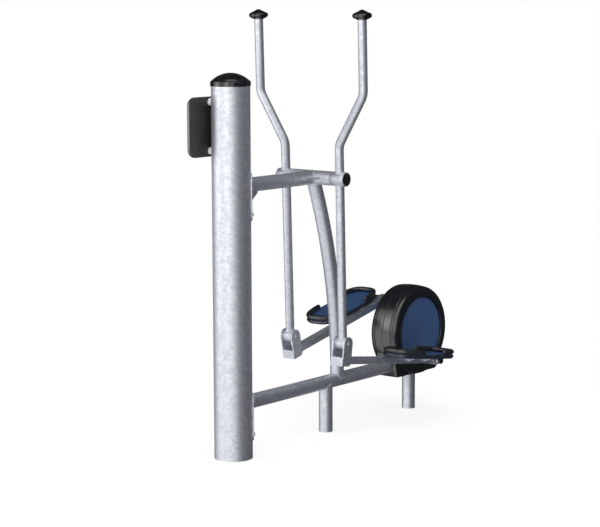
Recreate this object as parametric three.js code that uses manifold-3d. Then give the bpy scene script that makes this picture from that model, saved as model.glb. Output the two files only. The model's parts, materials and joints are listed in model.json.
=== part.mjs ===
// Outdoor air walker. A post carries two beams. The upper one ends in an axle on which two arms swing,
// and the lower one ends in a drum with a double crank. Each pedal bar hangs between an arm and a crank.
// Millimetres, +Z up. X runs from the post to the drum. The walker faces the post, so left is -Y.

import * as THREE from 'three';
import { mergeVertices } from 'three/addons/utils/BufferGeometryUtils.js';
import Module from 'manifold-3d';

const wasm = await Module();
wasm.setup();

// Clearances

const gap = 0.3; // kept between two pieces that touch
const overrun = 10; // how far a cutting shape runs past what it cuts

// Number of sides and steps of round shapes

const postSides = 36;
const drumSides = 48;
const tubeSides = 18;
const gripSides = 12;
const smallSides = 8;
const bendSteps = 4;
const arcSteps = 8;
const domeSteps = 3;

// Tubes that several pieces share

const tubeRadius = 30.15;
const tubeWall = 3.2;
const gripRadius = 19;
const gripWall = 2.6;

// Post and its cap

const postRadius = 79.5;
const postWall = 4.5;
const postHeight = 1550;
const postCapRadius = 82;
const postCapSkirt = 20;
const postCapRise = 33;
const postCapEdge = 1.5;

// Sign panel and its spacers

const signWidth = 310;
const signHeight = 243;
const signDrop = 307; // from the post's top down to the panel's lower edge
const signThickness = 14;
const signCorner = 40;
const signEdge = 3;
const signStandoff = 84; // from the post's axis to the panel's back
const spacerRadius = 15;
const spacerOffset = 31;
const spacerLowDrop = 283; // from the post's top down to the lower spacers
const spacerHighDrop = 85;

// Saddles and their bolts

const saddleThickness = 5;
const saddleHalfAngle = THREE.MathUtils.degToRad(60);
const saddleChamfer = 20;
const saddleHeight = 196;
const upperSaddleBottom = 982;
const lowerSaddleBottom = 70;
const boltAngle = THREE.MathUtils.degToRad(50);
const boltEdge = 28; // from a saddle's lower or upper edge to its bolts
const boltShankRadius = 6;
const boltHeadRadius = 8.5;
const boltHeadRise = 4.5;
const boltEndRun = 12; // the bolt's end past the post's wall

// Beams, strut and legs

const upperBeamHeight = 1122;
const lowerBeamHeight = 218;
const axleX = 525;
const strutFootX = 692;
const frontLegX = 612;
const rearLegX = 1226;
const beamEndRun = 46; // the lower beam's end past the rear leg's axis

// Gussets at the upper beam

const gussetThickness = 7;
const gussetToe = 6;
const underGussetRun = 75;
const underGussetDrop = 62;
const cornerGussetRun = 65;
const cornerGussetReach = 35;

// Axle shaft and the arms' sleeves on it

const shaftRadius = 22;
const sleeveLength = 72;
const plugRadius = 27;
const plugDepth = 8;
const plugDome = 2.5;

// Swing arms

const armOffset = 146.6; // from the middle plane to the arm's lower part
const handleOffset = 278.3; // from the middle plane to the arm's upper part
const armLength = 705.3; // from the axle down to the pedal bar's pivot
const armLowBend = 143; // from the axle up to the lower bend's corner
const armHighBend = 356;
const armTop = 683.5;
const armBendRadius = 76;
const hubRadius = 26;
const hubWidth = 47;

// Handle caps

const handleCapRadius = 41;
const handleCapMouth = 22;
const handleCapSkirt = 16.5;
const handleCapRise = 15.5;
const handleTipRadius = 11;
const handleTipRise = 10;
const handleTipEdge = 3;

// Crank

const crankX = 1227;
const crankHeight = 367.5;
const crankRadius = 124.5;
const crankTilt = THREE.MathUtils.degToRad(4.9); // the right pin from straight up, towards the rear
const discRadius = 153;
const discThickness = 8;
const discFace = 65.5; // from the middle plane to the disc's outer face
const discEdge = 1.5;
const discSkin = 4; // of the disc in front of the shaft's end
const crankShaftRadius = 15;
const wheelRadius = 108;
const wheelThickness = 24;

// Bearing brackets inside the casing

const bracketThickness = 8;
const bracketWidth = 90;
const bracketDrop = 20; // below the lower beam's axis
const bearingRadius = 32;
const bearingRun = 10;

// Drum casing

const drumRadius = 206;
const drumHalfWidth = 73;
const drumShoulder = 25;
const casingWall = 4;
const discClearance = 3;
const boxFrontX = 1066;
const boxRearX = 1375;
const boxBottom = 170;
const boxHeight = 110;
const boxHalfWidth = 55;
const boxCorner = 30;
const boxEdge = 6;

// Pedal bars, in a frame with its origin at the pivot

const barWidth = 40;
const barHeight = 30;
const barWall = 3;
const barDrop = 74.5; // from the pivot down to the bar's axis
const barReach = 689.7; // from the pivot along the bar to the crank pin
const pinDrop = 75; // from the pivot down to the crank pin
const cheekRadius = 29;
const cheekInner = 24.5;
const cheekThickness = 8;
const cheekBottom = 97;
const cheekChamfer = 12;
const forkPlateThickness = 5;
const forkPlateHeight = 31;
const forkPlateFace = 31; // from the pivot forward to the plate's face
const housingRadius = 22;
const housingInner = 100; // from the middle plane to the housing's inner end
const bossRadius = 15.5;
const bossRun = 14; // past the bar's outer side
const pinRadius = 10;
const pinFlangeRadius = 20;
const pinFlangeThickness = 8;
const pinCapThickness = 11.5;
const pinCapEdge = 3;
const pinCapFloor = 4;
const pivotBoltRadius = 6;
const pivotHeadRadius = 8.5;
const pivotHeadRise = 3.5;
const footGussetThickness = 6;
const footGussetReach = 44;
const footGussetDrop = 23;
const footGussetToe = 4;
const footGussetPlaces = [464, 592]; // from the pivot along the bar
const footPadHeight = 6.2;
const footPadHalfLength = 27;
const footPadPlaces = [395, 522, 614]; // from the pivot along the bar

// Footplates with their rings and rails

const footCentre = 464; // from the pivot along the bar
const footOffset = 221; // from the middle plane
const footPower = 3.5; // exponent of the rounded outline
const footHalfLength = 193; // to the rails' centreline
const footHalfWidth = 79;
const plateReach = 5; // of the plates' edges past the rails' centreline
const ringReach = 3; // of the ring's centreline past the rails' centreline
const ringRadius = 6.9;
const railRadius = 10.5;
const plateThickness = 2.2; // of the footplate's upper and lower plates
const toeRailEnd = -73; // from the footplate's centre along the bar
const heelRailEnd = 86;

// Colours

function material(color, roughness, metalness) {
  return new THREE.MeshStandardMaterial({ color, roughness, metalness });
}

const galvanised = () => material(0xb4bcc2, 0.45, 0.85);
const blackGloss = () => material(0x14151a, 0.25, 0);
const blackSatin = () => material(0x1c1e22, 0.5, 0);
const blackRubber = () => material(0x17181a, 0.7, 0);
const bluePaint = () => material(0x2c4268, 0.4, 0.1);
const stainless = () => material(0xd4d7da, 0.2, 1);
const whitePlastic = () => material(0xe6e7e8, 0.5, 0);

// Solids that can be joined and cut

function solid(geometry) {
  const bare = geometry.clone();
  bare.deleteAttribute('normal');
  bare.deleteAttribute('uv');
  const merged = mergeVertices(bare);
  const corners = merged.index.array;
  const kept = [];
  for (let i = 0; i < corners.length; i += 3) {
    const [a, b, c] = [corners[i], corners[i + 1], corners[i + 2]];
    if (a !== b && b !== c && c !== a) kept.push(a, b, c);
  }
  const mesh = new wasm.Mesh({
    numProp: 3,
    vertProperties: Float32Array.from(merged.attributes.position.array),
    triVerts: Uint32Array.from(kept),
  });
  return new wasm.Manifold(mesh);
}

function joined(parts) {
  return parts.reduce((whole, part) => whole.add(part));
}

function geometryOf(body) {
  const mesh = body.getMesh();
  const geometry = new THREE.BufferGeometry();
  geometry.setAttribute('position', new THREE.BufferAttribute(Float32Array.from(mesh.vertProperties), 3));
  geometry.setIndex(new THREE.BufferAttribute(Uint32Array.from(mesh.triVerts), 1));
  geometry.computeVertexNormals();
  return geometry;
}

function named(name, body, finish) {
  const mesh = new THREE.Mesh(geometryOf(body), finish());
  mesh.name = name;
  return mesh;
}

// The corner radius of a polygon whose flats clear a round piece

function around(radius, sides) {
  return (radius + gap) / Math.cos(Math.PI / sides);
}

// Round bars along each axis, between two stations

function rodZ(radius, from, to, sides) {
  const geometry = new THREE.CylinderGeometry(radius, radius, to - from, sides);
  geometry.rotateX(Math.PI / 2);
  geometry.translate(0, 0, (from + to) / 2);
  return geometry;
}

function rodX(radius, from, to, sides) {
  const geometry = rodZ(radius, from, to, sides);
  geometry.rotateY(Math.PI / 2);
  return geometry;
}

// From one distance to another from the middle plane, on the left (side -1) or the right (side 1)
function rodY(radius, from, to, sides, side = 1) {
  const geometry = rodZ(radius, from, to, sides);
  geometry.rotateX(-side * Math.PI / 2);
  return geometry;
}

function moved(geometry, x, y, z) {
  return geometry.translate(x, y, z);
}

function box(fromX, toX, fromY, toY, fromZ, toZ) {
  const geometry = new THREE.BoxGeometry(toX - fromX, toY - fromY, toZ - fromZ);
  return moved(geometry, (fromX + toX) / 2, (fromY + toY) / 2, (fromZ + toZ) / 2);
}

// A profile of [radius, height] points turned round the Z axis

function turned(points, sides) {
  const profile = points.map(([radius, height]) => new THREE.Vector2(radius, height));
  const geometry = new THREE.LatheGeometry(profile, sides);
  geometry.rotateX(Math.PI / 2);
  return geometry;
}

// Points of a quarter of an ellipse, from its widest place to its top
function dome(radius, rise, base, inner = 0) {
  const points = [];
  for (let i = 0; i <= domeSteps; i += 1) {
    const angle = (i / domeSteps) * Math.PI / 2;
    points.push([inner + (radius - inner) * Math.cos(angle), base + rise * Math.sin(angle)]);
  }
  return points;
}

// Points of a flat arc, from its rim to its apex on the axis
function cappedArc(radius, base, rise) {
  const sphere = (radius ** 2 + rise ** 2) / (2 * rise);
  const sweep = Math.asin(radius / sphere);
  const points = [];
  for (let i = 0; i <= 2 * domeSteps; i += 1) {
    const angle = sweep * (1 - i / (2 * domeSteps));
    points.push([sphere * Math.sin(angle), base + rise - sphere * (1 - Math.cos(angle))]);
  }
  return points;
}

// Plates cut from an outline

function outline(points) {
  return new THREE.Shape(points.map(([x, y]) => new THREE.Vector2(x, y)));
}

// Lies in XY, with its underside at a height
function flatPlate(shape, bottom, thickness) {
  const geometry = new THREE.ExtrudeGeometry(shape, { depth: thickness, bevelEnabled: false });
  return moved(geometry, 0, 0, bottom);
}

// Stands in XZ, with its middle at a distance along Y
function uprightPlate(shape, middle, thickness) {
  const geometry = flatPlate(shape, -thickness / 2, thickness);
  geometry.rotateX(Math.PI / 2);
  return moved(geometry, 0, middle, 0);
}

// Stands in YZ, with its middle at a distance along X
function crossPlate(shape, middle, thickness) {
  const geometry = flatPlate(shape, -thickness / 2, thickness);
  const toYZ = new THREE.Matrix4().makeBasis(
    new THREE.Vector3(0, 1, 0),
    new THREE.Vector3(0, 0, 1),
    new THREE.Vector3(1, 0, 0),
  );
  geometry.applyMatrix4(toYZ);
  return moved(geometry, middle, 0, 0);
}

// A path given by stations, each with its own direction, so that straight runs take one step

class Stations extends THREE.Curve {
  constructor(points, directions) {
    super();
    this.points = points;
    this.directions = directions;
  }

  at(share) {
    return Math.round(share * (this.points.length - 1));
  }

  getPoint(share, target = new THREE.Vector3()) {
    return target.copy(this.points[this.at(share)]);
  }

  getPointAt(share, target) {
    return this.getPoint(share, target);
  }

  getTangentAt(share, target = new THREE.Vector3()) {
    return target.copy(this.directions[this.at(share)]);
  }
}

// A round bar along stations
function swept(path, radius, sides) {
  const section = [];
  for (let i = 0; i < sides; i += 1) {
    const angle = (i / sides) * Math.PI * 2;
    section.push([radius * Math.cos(angle), radius * Math.sin(angle)]);
  }
  return new THREE.ExtrudeGeometry(outline(section), {
    steps: path.points.length - 1,
    extrudePath: path,
    bevelEnabled: false,
  });
}

// Stations along a line of corners, with every inner corner bent to a radius
function bent(corners, radius) {
  const points = [corners[0]];
  const directions = [corners[1].clone().sub(corners[0]).normalize()];
  for (let i = 1; i < corners.length - 1; i += 1) {
    const before = corners[i].clone().sub(corners[i - 1]).normalize();
    const after = corners[i + 1].clone().sub(corners[i]).normalize();
    const angle = before.angleTo(after);
    const across = after.clone().addScaledVector(before, -after.dot(before)).normalize();
    const start = corners[i].clone().addScaledVector(before, -radius * Math.tan(angle / 2));
    for (let k = 0; k <= bendSteps; k += 1) {
      const turnedBy = (angle * k) / bendSteps;
      const point = start.clone();
      point.addScaledVector(before, radius * Math.sin(turnedBy));
      point.addScaledVector(across, radius * (1 - Math.cos(turnedBy)));
      const direction = before.clone().multiplyScalar(Math.cos(turnedBy));
      direction.addScaledVector(across, Math.sin(turnedBy));
      points.push(point);
      directions.push(direction);
    }
  }
  const last = corners[corners.length - 1];
  points.push(last);
  directions.push(last.clone().sub(corners[corners.length - 2]).normalize());
  return new Stations(points, directions);
}

// Rounded outline of a footplate, with half sizes along and across the bar

function footPoint(angle, halfLength, halfWidth) {
  const along = Math.cos(angle);
  const across = Math.sin(angle);
  const power = 2 / footPower;
  return new THREE.Vector2(
    Math.sign(along) * halfLength * Math.abs(along) ** power,
    Math.sign(across) * halfWidth * Math.abs(across) ** power,
  );
}

const footQuarter = 8;
const footStep = Math.PI / 2 / footQuarter;

// Angles that spread the points evenly round the outline's corners
function footAngles(from, to) {
  const angles = [];
  for (let angle = from; angle < to + footStep / 2; angle += footStep) angles.push(angle);
  return angles;
}

function footShape(inset) {
  const points = footAngles(0, Math.PI * 2).slice(0, -1).map((angle) => {
    const point = footPoint(angle, footHalfLength - inset, footHalfWidth - inset);
    return [point.x, point.y];
  });
  return outline(points);
}

function footPath(angles, inset, height) {
  const place = (angle) => {
    const point = footPoint(angle, footHalfLength - inset, footHalfWidth - inset);
    return new THREE.Vector3(point.x, point.y, height);
  };
  const directions = angles.map((angle) => place(angle + footStep).sub(place(angle - footStep)).normalize());
  return new Stations(angles.map(place), directions);
}

// Rest pose. A pivot lies at the arm's length from the axle and at the bar's length from its pin.

const barLength = Math.hypot(barReach, pinDrop);

function restPivot(pinX, pinZ) {
  const spanX = pinX - axleX;
  const spanZ = pinZ - upperBeamHeight;
  const span = Math.hypot(spanX, spanZ);
  const along = (armLength ** 2 - barLength ** 2 + span ** 2) / (2 * span);
  const aside = Math.sqrt(armLength ** 2 - along ** 2);
  return new THREE.Vector3(
    axleX + (spanX * along + spanZ * aside) / span,
    0,
    upperBeamHeight + (spanZ * along - spanX * aside) / span,
  );
}

function restPose(side) {
  const pinX = crankX + side * crankRadius * Math.sin(crankTilt);
  const pinZ = crankHeight + side * crankRadius * Math.cos(crankTilt);
  const pivot = restPivot(pinX, pinZ);
  const armLean = Math.atan2(pivot.x - axleX, upperBeamHeight - pivot.z);
  const barTilt = Math.atan2(pinZ - pivot.z, pinX - pivot.x) + Math.atan2(pinDrop, barReach);
  return { pivot, armLean, barTilt };
}

const walker = new THREE.Group();

// Post

const saddleInner = around(postRadius, postSides);
const saddleOuter = saddleInner + saddleThickness;
const saddleBottoms = { upper: upperSaddleBottom, lower: lowerSaddleBottom };
const boltPlaces = [];
for (const [level, bottom] of Object.entries(saddleBottoms)) {
  for (const [row, height] of [['low', bottom + boltEdge], ['high', bottom + saddleHeight - boltEdge]]) {
    for (const [side, angle] of [['left', -boltAngle], ['right', boltAngle]]) {
      boltPlaces.push({ name: `${level}_saddle_bolt_${row}_${side}`, level, height, angle });
    }
  }
}

function boltHole({ height, angle }) {
  const hole = rodX(around(boltShankRadius, smallSides), 0, saddleOuter + overrun, smallSides);
  hole.rotateZ(angle);
  return solid(moved(hole, 0, 0, height));
}

const postBore = solid(rodZ(postRadius - postWall, -overrun, postHeight + overrun, postSides));
const postTube = solid(rodZ(postRadius, 0, postHeight, postSides));
const boltHoles = joined(boltPlaces.map(boltHole));
walker.add(named('post', postTube.subtract(postBore).subtract(boltHoles), galvanised));

// Post cap

const postCapProfile = [
  [0, postHeight + gap],
  [saddleInner, postHeight + gap],
  [saddleInner, postHeight - postCapSkirt],
  [postCapRadius, postHeight - postCapSkirt],
  [postCapRadius, postHeight - postCapEdge],
  ...cappedArc(postCapRadius - postCapEdge, postHeight, postCapRise),
];
walker.add(named('post_cap', solid(turned(postCapProfile, postSides)), blackGloss));

// Sign panel

const signShape = new THREE.Shape();
const signSide = signWidth / 2 - signEdge;
const signTop = signHeight / 2 - signEdge;
const signRound = signCorner - signEdge;
signShape.moveTo(-signSide + signRound, -signTop);
signShape.lineTo(signSide - signRound, -signTop);
signShape.absarc(signSide - signRound, -signTop + signRound, signRound, -Math.PI / 2, 0);
signShape.lineTo(signSide, signTop - signRound);
signShape.absarc(signSide - signRound, signTop - signRound, signRound, 0, Math.PI / 2);
signShape.lineTo(-signSide + signRound, signTop);
signShape.absarc(-signSide + signRound, signTop - signRound, signRound, Math.PI / 2, Math.PI);
signShape.lineTo(-signSide, -signTop + signRound);
signShape.absarc(-signSide + signRound, -signTop + signRound, signRound, Math.PI, Math.PI * 1.5);
const signGeometry = new THREE.ExtrudeGeometry(signShape, {
  depth: signThickness - 2 * signEdge,
  bevelThickness: signEdge,
  bevelSize: signEdge,
  bevelSegments: 2,
  curveSegments: bendSteps,
});
signGeometry.rotateX(Math.PI / 2);
const signMiddle = postHeight - signDrop + signHeight / 2;
moved(signGeometry, 0, signStandoff + signThickness - signEdge, signMiddle);
walker.add(named('sign_panel', solid(signGeometry), blackSatin));

// The saddles' share of the post's round, from a bottom edge up, set back from the saddles by a clearance
function saddleWedge(bottom, clearance) {
  const reach = 2 * saddleOuter;
  const reachX = reach * Math.cos(saddleHalfAngle);
  const reachY = reach * Math.sin(saddleHalfAngle);
  const wedge = outline([[0, 0], [reachX, -reachY], [reach, -reachY], [reach, reachY], [reachX, reachY]]);
  const plate = flatPlate(wedge, bottom - clearance, saddleHeight + 2 * clearance);
  return solid(moved(plate, -clearance / Math.sin(saddleHalfAngle), 0, 0));
}

// Room for the post, and for the upper saddle's edge where a spacer comes down to it
const saddleEdgeRoom = solid(rodZ(saddleOuter + gap, 0, postHeight, postSides)).intersect(
  saddleWedge(upperSaddleBottom, gap),
);
const spacerRoom = solid(rodZ(saddleInner, 0, postHeight, postSides)).add(saddleEdgeRoom);
for (const [row, drop] of [['low', spacerLowDrop], ['high', spacerHighDrop]]) {
  for (const [place, x] of [['front', -spacerOffset], ['rear', spacerOffset]]) {
    const spacer = rodY(spacerRadius, 0, signStandoff - gap, smallSides);
    const rod = solid(moved(spacer, x, 0, postHeight - drop));
    walker.add(named(`sign_spacer_${row}_${place}`, rod.subtract(spacerRoom), whitePlastic));
  }
}

// Saddles: curved plates with chamfered corners

function saddle(level) {
  const bottom = saddleBottoms[level];
  const top = bottom + saddleHeight;
  let body = solid(rodZ(saddleOuter, bottom, top, postSides))
    .subtract(solid(rodZ(saddleInner, bottom - overrun, top + overrun, postSides)))
    .intersect(saddleWedge(bottom, 0));
  const size = 4 * saddleChamfer;
  const out = (size / 2) * Math.SQRT1_2 - saddleChamfer / 2;
  for (const side of [-1, 1]) {
    for (const [edge, direction] of [[bottom, -1], [top, 1]]) {
      const cutter = new THREE.BoxGeometry(size, size, size);
      cutter.rotateX(Math.PI / 4);
      moved(cutter, saddleOuter, side * out, edge + direction * out);
      cutter.rotateZ(side * saddleHalfAngle);
      body = body.subtract(solid(cutter));
    }
  }
  const holes = boltPlaces.filter((place) => place.level === level).map(boltHole);
  return named(`${level}_saddle`, body.subtract(joined(holes)), galvanised);
}

walker.add(saddle('upper'), saddle('lower'));

// Saddle bolts, each with its head on the saddle and its end inside the post

const boltProfile = [
  [0, -(saddleThickness + postWall + boltEndRun)],
  [boltShankRadius, -(saddleThickness + postWall + boltEndRun)],
  [boltShankRadius, 0],
  ...dome(boltHeadRadius, boltHeadRise, 0),
];
for (const { name, height, angle } of boltPlaces) {
  const bolt = named(name, solid(turned(boltProfile, smallSides)), stainless);
  bolt.rotation.y = Math.PI / 2;
  bolt.position.x = saddleOuter + gap;
  const bearing = new THREE.Group();
  bearing.rotation.z = angle;
  bearing.position.z = height;
  bearing.add(bolt);
  walker.add(bearing);
}

// Upper beam, coped to the saddle and to the axle tube

const saddleRoom = solid(rodZ(saddleOuter + gap, 0, postHeight, postSides));
const axleRoomRadius = around(tubeRadius, tubeSides);
const axleRoom = solid(
  moved(rodY(axleRoomRadius, -sleeveLength, sleeveLength, tubeSides), axleX, 0, upperBeamHeight),
);

function beam(endX, height) {
  const outside = solid(moved(rodX(tubeRadius, 0, endX, tubeSides), 0, 0, height));
  const inside = rodX(tubeRadius - tubeWall, -overrun, endX + overrun, tubeSides);
  return outside.subtract(solid(moved(inside, 0, 0, height))).subtract(saddleRoom);
}

walker.add(named('upper_beam', beam(axleX, upperBeamHeight).subtract(axleRoom), galvanised));

// Gussets of the upper beam

const underGussetX = saddleOuter + 2 * gap;
const underGussetTop = upperBeamHeight - tubeRadius - gap;
const underGusset = outline([
  [underGussetX, underGussetTop],
  [underGussetX, underGussetTop - underGussetDrop],
  [underGussetX + gussetToe, underGussetTop - underGussetDrop],
  [underGussetX + underGussetRun, underGussetTop - gussetToe],
  [underGussetX + underGussetRun, underGussetTop],
]);
const underGussetPlate = solid(uprightPlate(underGusset, 0, gussetThickness));
walker.add(named('beam_gusset', underGussetPlate, galvanised));

for (const [name, side] of [['left', -1], ['right', 1]]) {
  const cornerX = axleX - tubeRadius - gap;
  const cornerY = tubeRadius + gap;
  const plate = outline([
    [cornerX, side * cornerY],
    [cornerX, side * (cornerY + cornerGussetReach)],
    [cornerX - gussetToe, side * (cornerY + cornerGussetReach)],
    [cornerX - cornerGussetRun, side * (cornerY + gussetToe)],
    [cornerX - cornerGussetRun, side * cornerY],
  ]);
  const gusset = solid(flatPlate(plate, upperBeamHeight - gussetThickness / 2, gussetThickness));
  walker.add(named(`axle_gusset_${name}`, gusset, galvanised));
}

// Axle tube and shaft

const sleeveInner = armOffset - sleeveLength / 2;
const sleeveOuter = armOffset + sleeveLength / 2;
const shaftBore = around(shaftRadius, tubeSides);
const axle = new THREE.Group();
axle.position.set(axleX, 0, upperBeamHeight);
const axleTubeEnd = sleeveInner - gap;
const axleTube = solid(rodY(tubeRadius, -axleTubeEnd, axleTubeEnd, tubeSides));
const axleBore = solid(rodY(shaftBore, -axleTubeEnd - overrun, axleTubeEnd + overrun, tubeSides));
const shaftEnd = sleeveOuter - plugDepth - gap;
axle.add(named('axle_tube', axleTube.subtract(axleBore), galvanised));
axle.add(named('axle_shaft', solid(rodY(shaftRadius, -shaftEnd, shaftEnd, tubeSides)), stainless));
walker.add(axle);

// Lower beam, its legs and the strut

const lowerBeamEnd = rearLegX + beamEndRun;
walker.add(named('lower_beam', beam(lowerBeamEnd, lowerBeamHeight), galvanised));

const beamRoomRadius = around(tubeRadius, tubeSides);
const lowerBeamRoom = solid(
  moved(rodX(beamRoomRadius, 0, lowerBeamEnd + overrun, tubeSides), 0, 0, lowerBeamHeight),
);

for (const [name, x] of [['front_leg', frontLegX], ['rear_leg', rearLegX]]) {
  const outside = solid(moved(rodZ(tubeRadius, 0, lowerBeamHeight, tubeSides), x, 0, 0));
  const bore = rodZ(tubeRadius - tubeWall, -overrun, lowerBeamHeight + overrun, tubeSides);
  const leg = outside.subtract(solid(moved(bore, x, 0, 0))).subtract(lowerBeamRoom);
  walker.add(named(name, leg, galvanised));
}

const strutFootZ = lowerBeamHeight + tubeRadius;
const strutRise = upperBeamHeight - strutFootZ;
const strutShift = strutFootX - axleX;
const strutBend = (strutRise ** 2 + strutShift ** 2) / (2 * strutShift);
const strutSweep = Math.asin(strutRise / strutBend);

function strutPath(extra) {
  const points = [];
  const directions = [];
  const drop = (tubeRadius + extra) / strutBend;
  for (let i = 0; i <= arcSteps; i += 1) {
    const angle = -drop + (strutSweep + drop + extra / strutBend) * (i / arcSteps);
    const x = strutFootX - strutBend * (1 - Math.cos(angle));
    points.push(new THREE.Vector3(x, 0, strutFootZ + strutBend * Math.sin(angle)));
    directions.push(new THREE.Vector3(-Math.sin(angle), 0, Math.cos(angle)));
  }
  return new Stations(points, directions);
}

const strutOutside = solid(swept(strutPath(0), tubeRadius, tubeSides));
const strutInside = solid(swept(strutPath(overrun), tubeRadius - tubeWall, tubeSides));
const upperBeamRoom = solid(
  moved(rodX(beamRoomRadius, 0, axleX, tubeSides), 0, 0, upperBeamHeight),
);
const strutBody = strutOutside
  .subtract(strutInside)
  .subtract(lowerBeamRoom)
  .subtract(upperBeamRoom)
  .subtract(axleRoom);
walker.add(named('strut', strutBody, galvanised));

// Drum casing, a shell in two halves with a narrow base box under the drum

function drumProfile(radius, halfWidth, shoulder) {
  const points = [[0, -halfWidth]];
  for (const [sign, start] of [[-1, -Math.PI / 2], [1, 0]]) {
    for (let i = 0; i <= domeSteps; i += 1) {
      const angle = start + (i / domeSteps) * Math.PI / 2;
      const outward = radius - shoulder + shoulder * Math.cos(angle);
      points.push([outward, sign * (halfWidth - shoulder) + shoulder * Math.sin(angle)]);
    }
  }
  points.push([0, halfWidth]);
  return points;
}

function drumSolid(inset) {
  const shoulder = drumShoulder - inset;
  const drum = turned(drumProfile(drumRadius - inset, drumHalfWidth - inset, shoulder), drumSides);
  drum.rotateX(Math.PI / 2);
  return solid(moved(drum, crankX, 0, crankHeight));
}

function boxSolid(inset) {
  const front = boxFrontX + inset;
  const rear = boxRearX - inset;
  const bottom = boxBottom + inset;
  const top = boxBottom + boxHeight;
  const corner = boxCorner - inset;
  const edge = boxEdge;
  const shape = new THREE.Shape();
  shape.moveTo(front + edge, bottom);
  shape.lineTo(rear - corner, bottom);
  shape.absarc(rear - corner, bottom + corner, corner, -Math.PI / 2, 0);
  shape.lineTo(rear, top);
  shape.lineTo(front, top);
  shape.lineTo(front, bottom + edge);
  const halfWidth = boxHalfWidth - inset;
  const geometry = new THREE.ExtrudeGeometry(shape, {
    depth: 2 * halfWidth,
    bevelEnabled: false,
    curveSegments: bendSteps,
  });
  geometry.rotateX(Math.PI / 2);
  return solid(moved(geometry, 0, halfWidth, 0));
}

const casingBottom = solid(
  box(
    crankX - drumRadius - overrun,
    crankX + drumRadius + overrun,
    -drumHalfWidth - overrun,
    drumHalfWidth + overrun,
    boxBottom - drumRadius,
    boxBottom,
  ),
);
const casingFloor = solid(
  box(
    crankX - drumRadius - overrun,
    crankX + drumRadius + overrun,
    -drumHalfWidth - overrun,
    drumHalfWidth + overrun,
    boxBottom - drumRadius,
    boxBottom + casingWall,
  ),
);
const casingOutside = drumSolid(0).subtract(casingBottom).add(boxSolid(0));
const casingInside = drumSolid(casingWall).subtract(casingFloor).add(boxSolid(casingWall));
const rearLegRoom = solid(moved(rodZ(beamRoomRadius, 0, lowerBeamHeight, tubeSides), rearLegX, 0, 0));
const discOpening = rodY(discRadius + discClearance, -drumRadius, drumRadius, drumSides);
const casingShell = casingOutside
  .subtract(casingInside)
  .subtract(lowerBeamRoom)
  .subtract(rearLegRoom)
  .subtract(solid(moved(discOpening, crankX, 0, crankHeight)));

for (const [name, side] of [['left', -1], ['right', 1]]) {
  const nearSeam = (side * gap) / 2;
  const farSide = side * (drumHalfWidth + overrun);
  const halfRoom = box(
    crankX - drumRadius - overrun,
    crankX + drumRadius + overrun,
    Math.min(nearSeam, farSide),
    Math.max(nearSeam, farSide),
    0,
    crankHeight + drumRadius + overrun,
  );
  walker.add(named(`casing_${name}`, casingShell.intersect(solid(halfRoom)), blackSatin));
}

// Bearing brackets, beside the lower beam and up to the crank shaft

const bracketInner = tubeRadius + gap;
const crankBore = around(crankShaftRadius, tubeSides);
for (const [name, side] of [['left', -1], ['right', 1]]) {
  const bracketBottom = lowerBeamHeight - bracketDrop;
  const shape = new THREE.Shape();
  shape.moveTo(crankX - bracketWidth / 2, bracketBottom);
  shape.lineTo(crankX + bracketWidth / 2, bracketBottom);
  shape.lineTo(crankX + bearingRadius, crankHeight);
  shape.absarc(crankX, crankHeight, bearingRadius, 0, Math.PI);
  const middle = side * (bracketInner + bracketThickness / 2);
  const plate = solid(uprightPlate(shape, middle, bracketThickness));
  const bossEnd = bracketInner + bracketThickness + bearingRun;
  const boss = rodY(bearingRadius, bracketInner, bossEnd, tubeSides, side);
  const bore = rodY(crankBore, 0, bossEnd + overrun, tubeSides, side);
  const body = plate
    .add(solid(moved(boss, crankX, 0, crankHeight)))
    .subtract(solid(moved(bore, crankX, 0, crankHeight)));
  walker.add(named(`bearing_bracket_${name}`, body, galvanised));
}

// Crank: shaft, inertia wheel and the two discs

const crank = new THREE.Group();
crank.position.set(crankX, 0, crankHeight);
crank.rotation.y = crankTilt;
const crankShaftEnd = discFace - discSkin - gap;
const crankShaft = solid(rodY(crankShaftRadius, -crankShaftEnd, crankShaftEnd, tubeSides));
crank.add(named('crank_shaft', crankShaft, stainless));

const wheel = solid(rodY(wheelRadius, -wheelThickness / 2, wheelThickness / 2, drumSides));
const wheelBore = solid(rodY(crankBore, -wheelThickness, wheelThickness, tubeSides));
crank.add(named('inertia_wheel', wheel.subtract(wheelBore), galvanised));

for (const [name, side] of [['left', -1], ['right', 1]]) {
  const discProfile = [
    [crankBore, discFace - discThickness],
    [discRadius, discFace - discThickness],
    [discRadius, discFace - discEdge],
    [discRadius - discEdge, discFace],
    [0, discFace],
    [0, discFace - discSkin],
    [crankBore, discFace - discSkin],
    [crankBore, discFace - discThickness],
  ];
  const disc = turned(discProfile, drumSides);
  disc.rotateX(-side * Math.PI / 2);
  crank.add(named(`crank_disc_${name}`, solid(disc), bluePaint));
}
walker.add(crank);

// Swing arms

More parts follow.
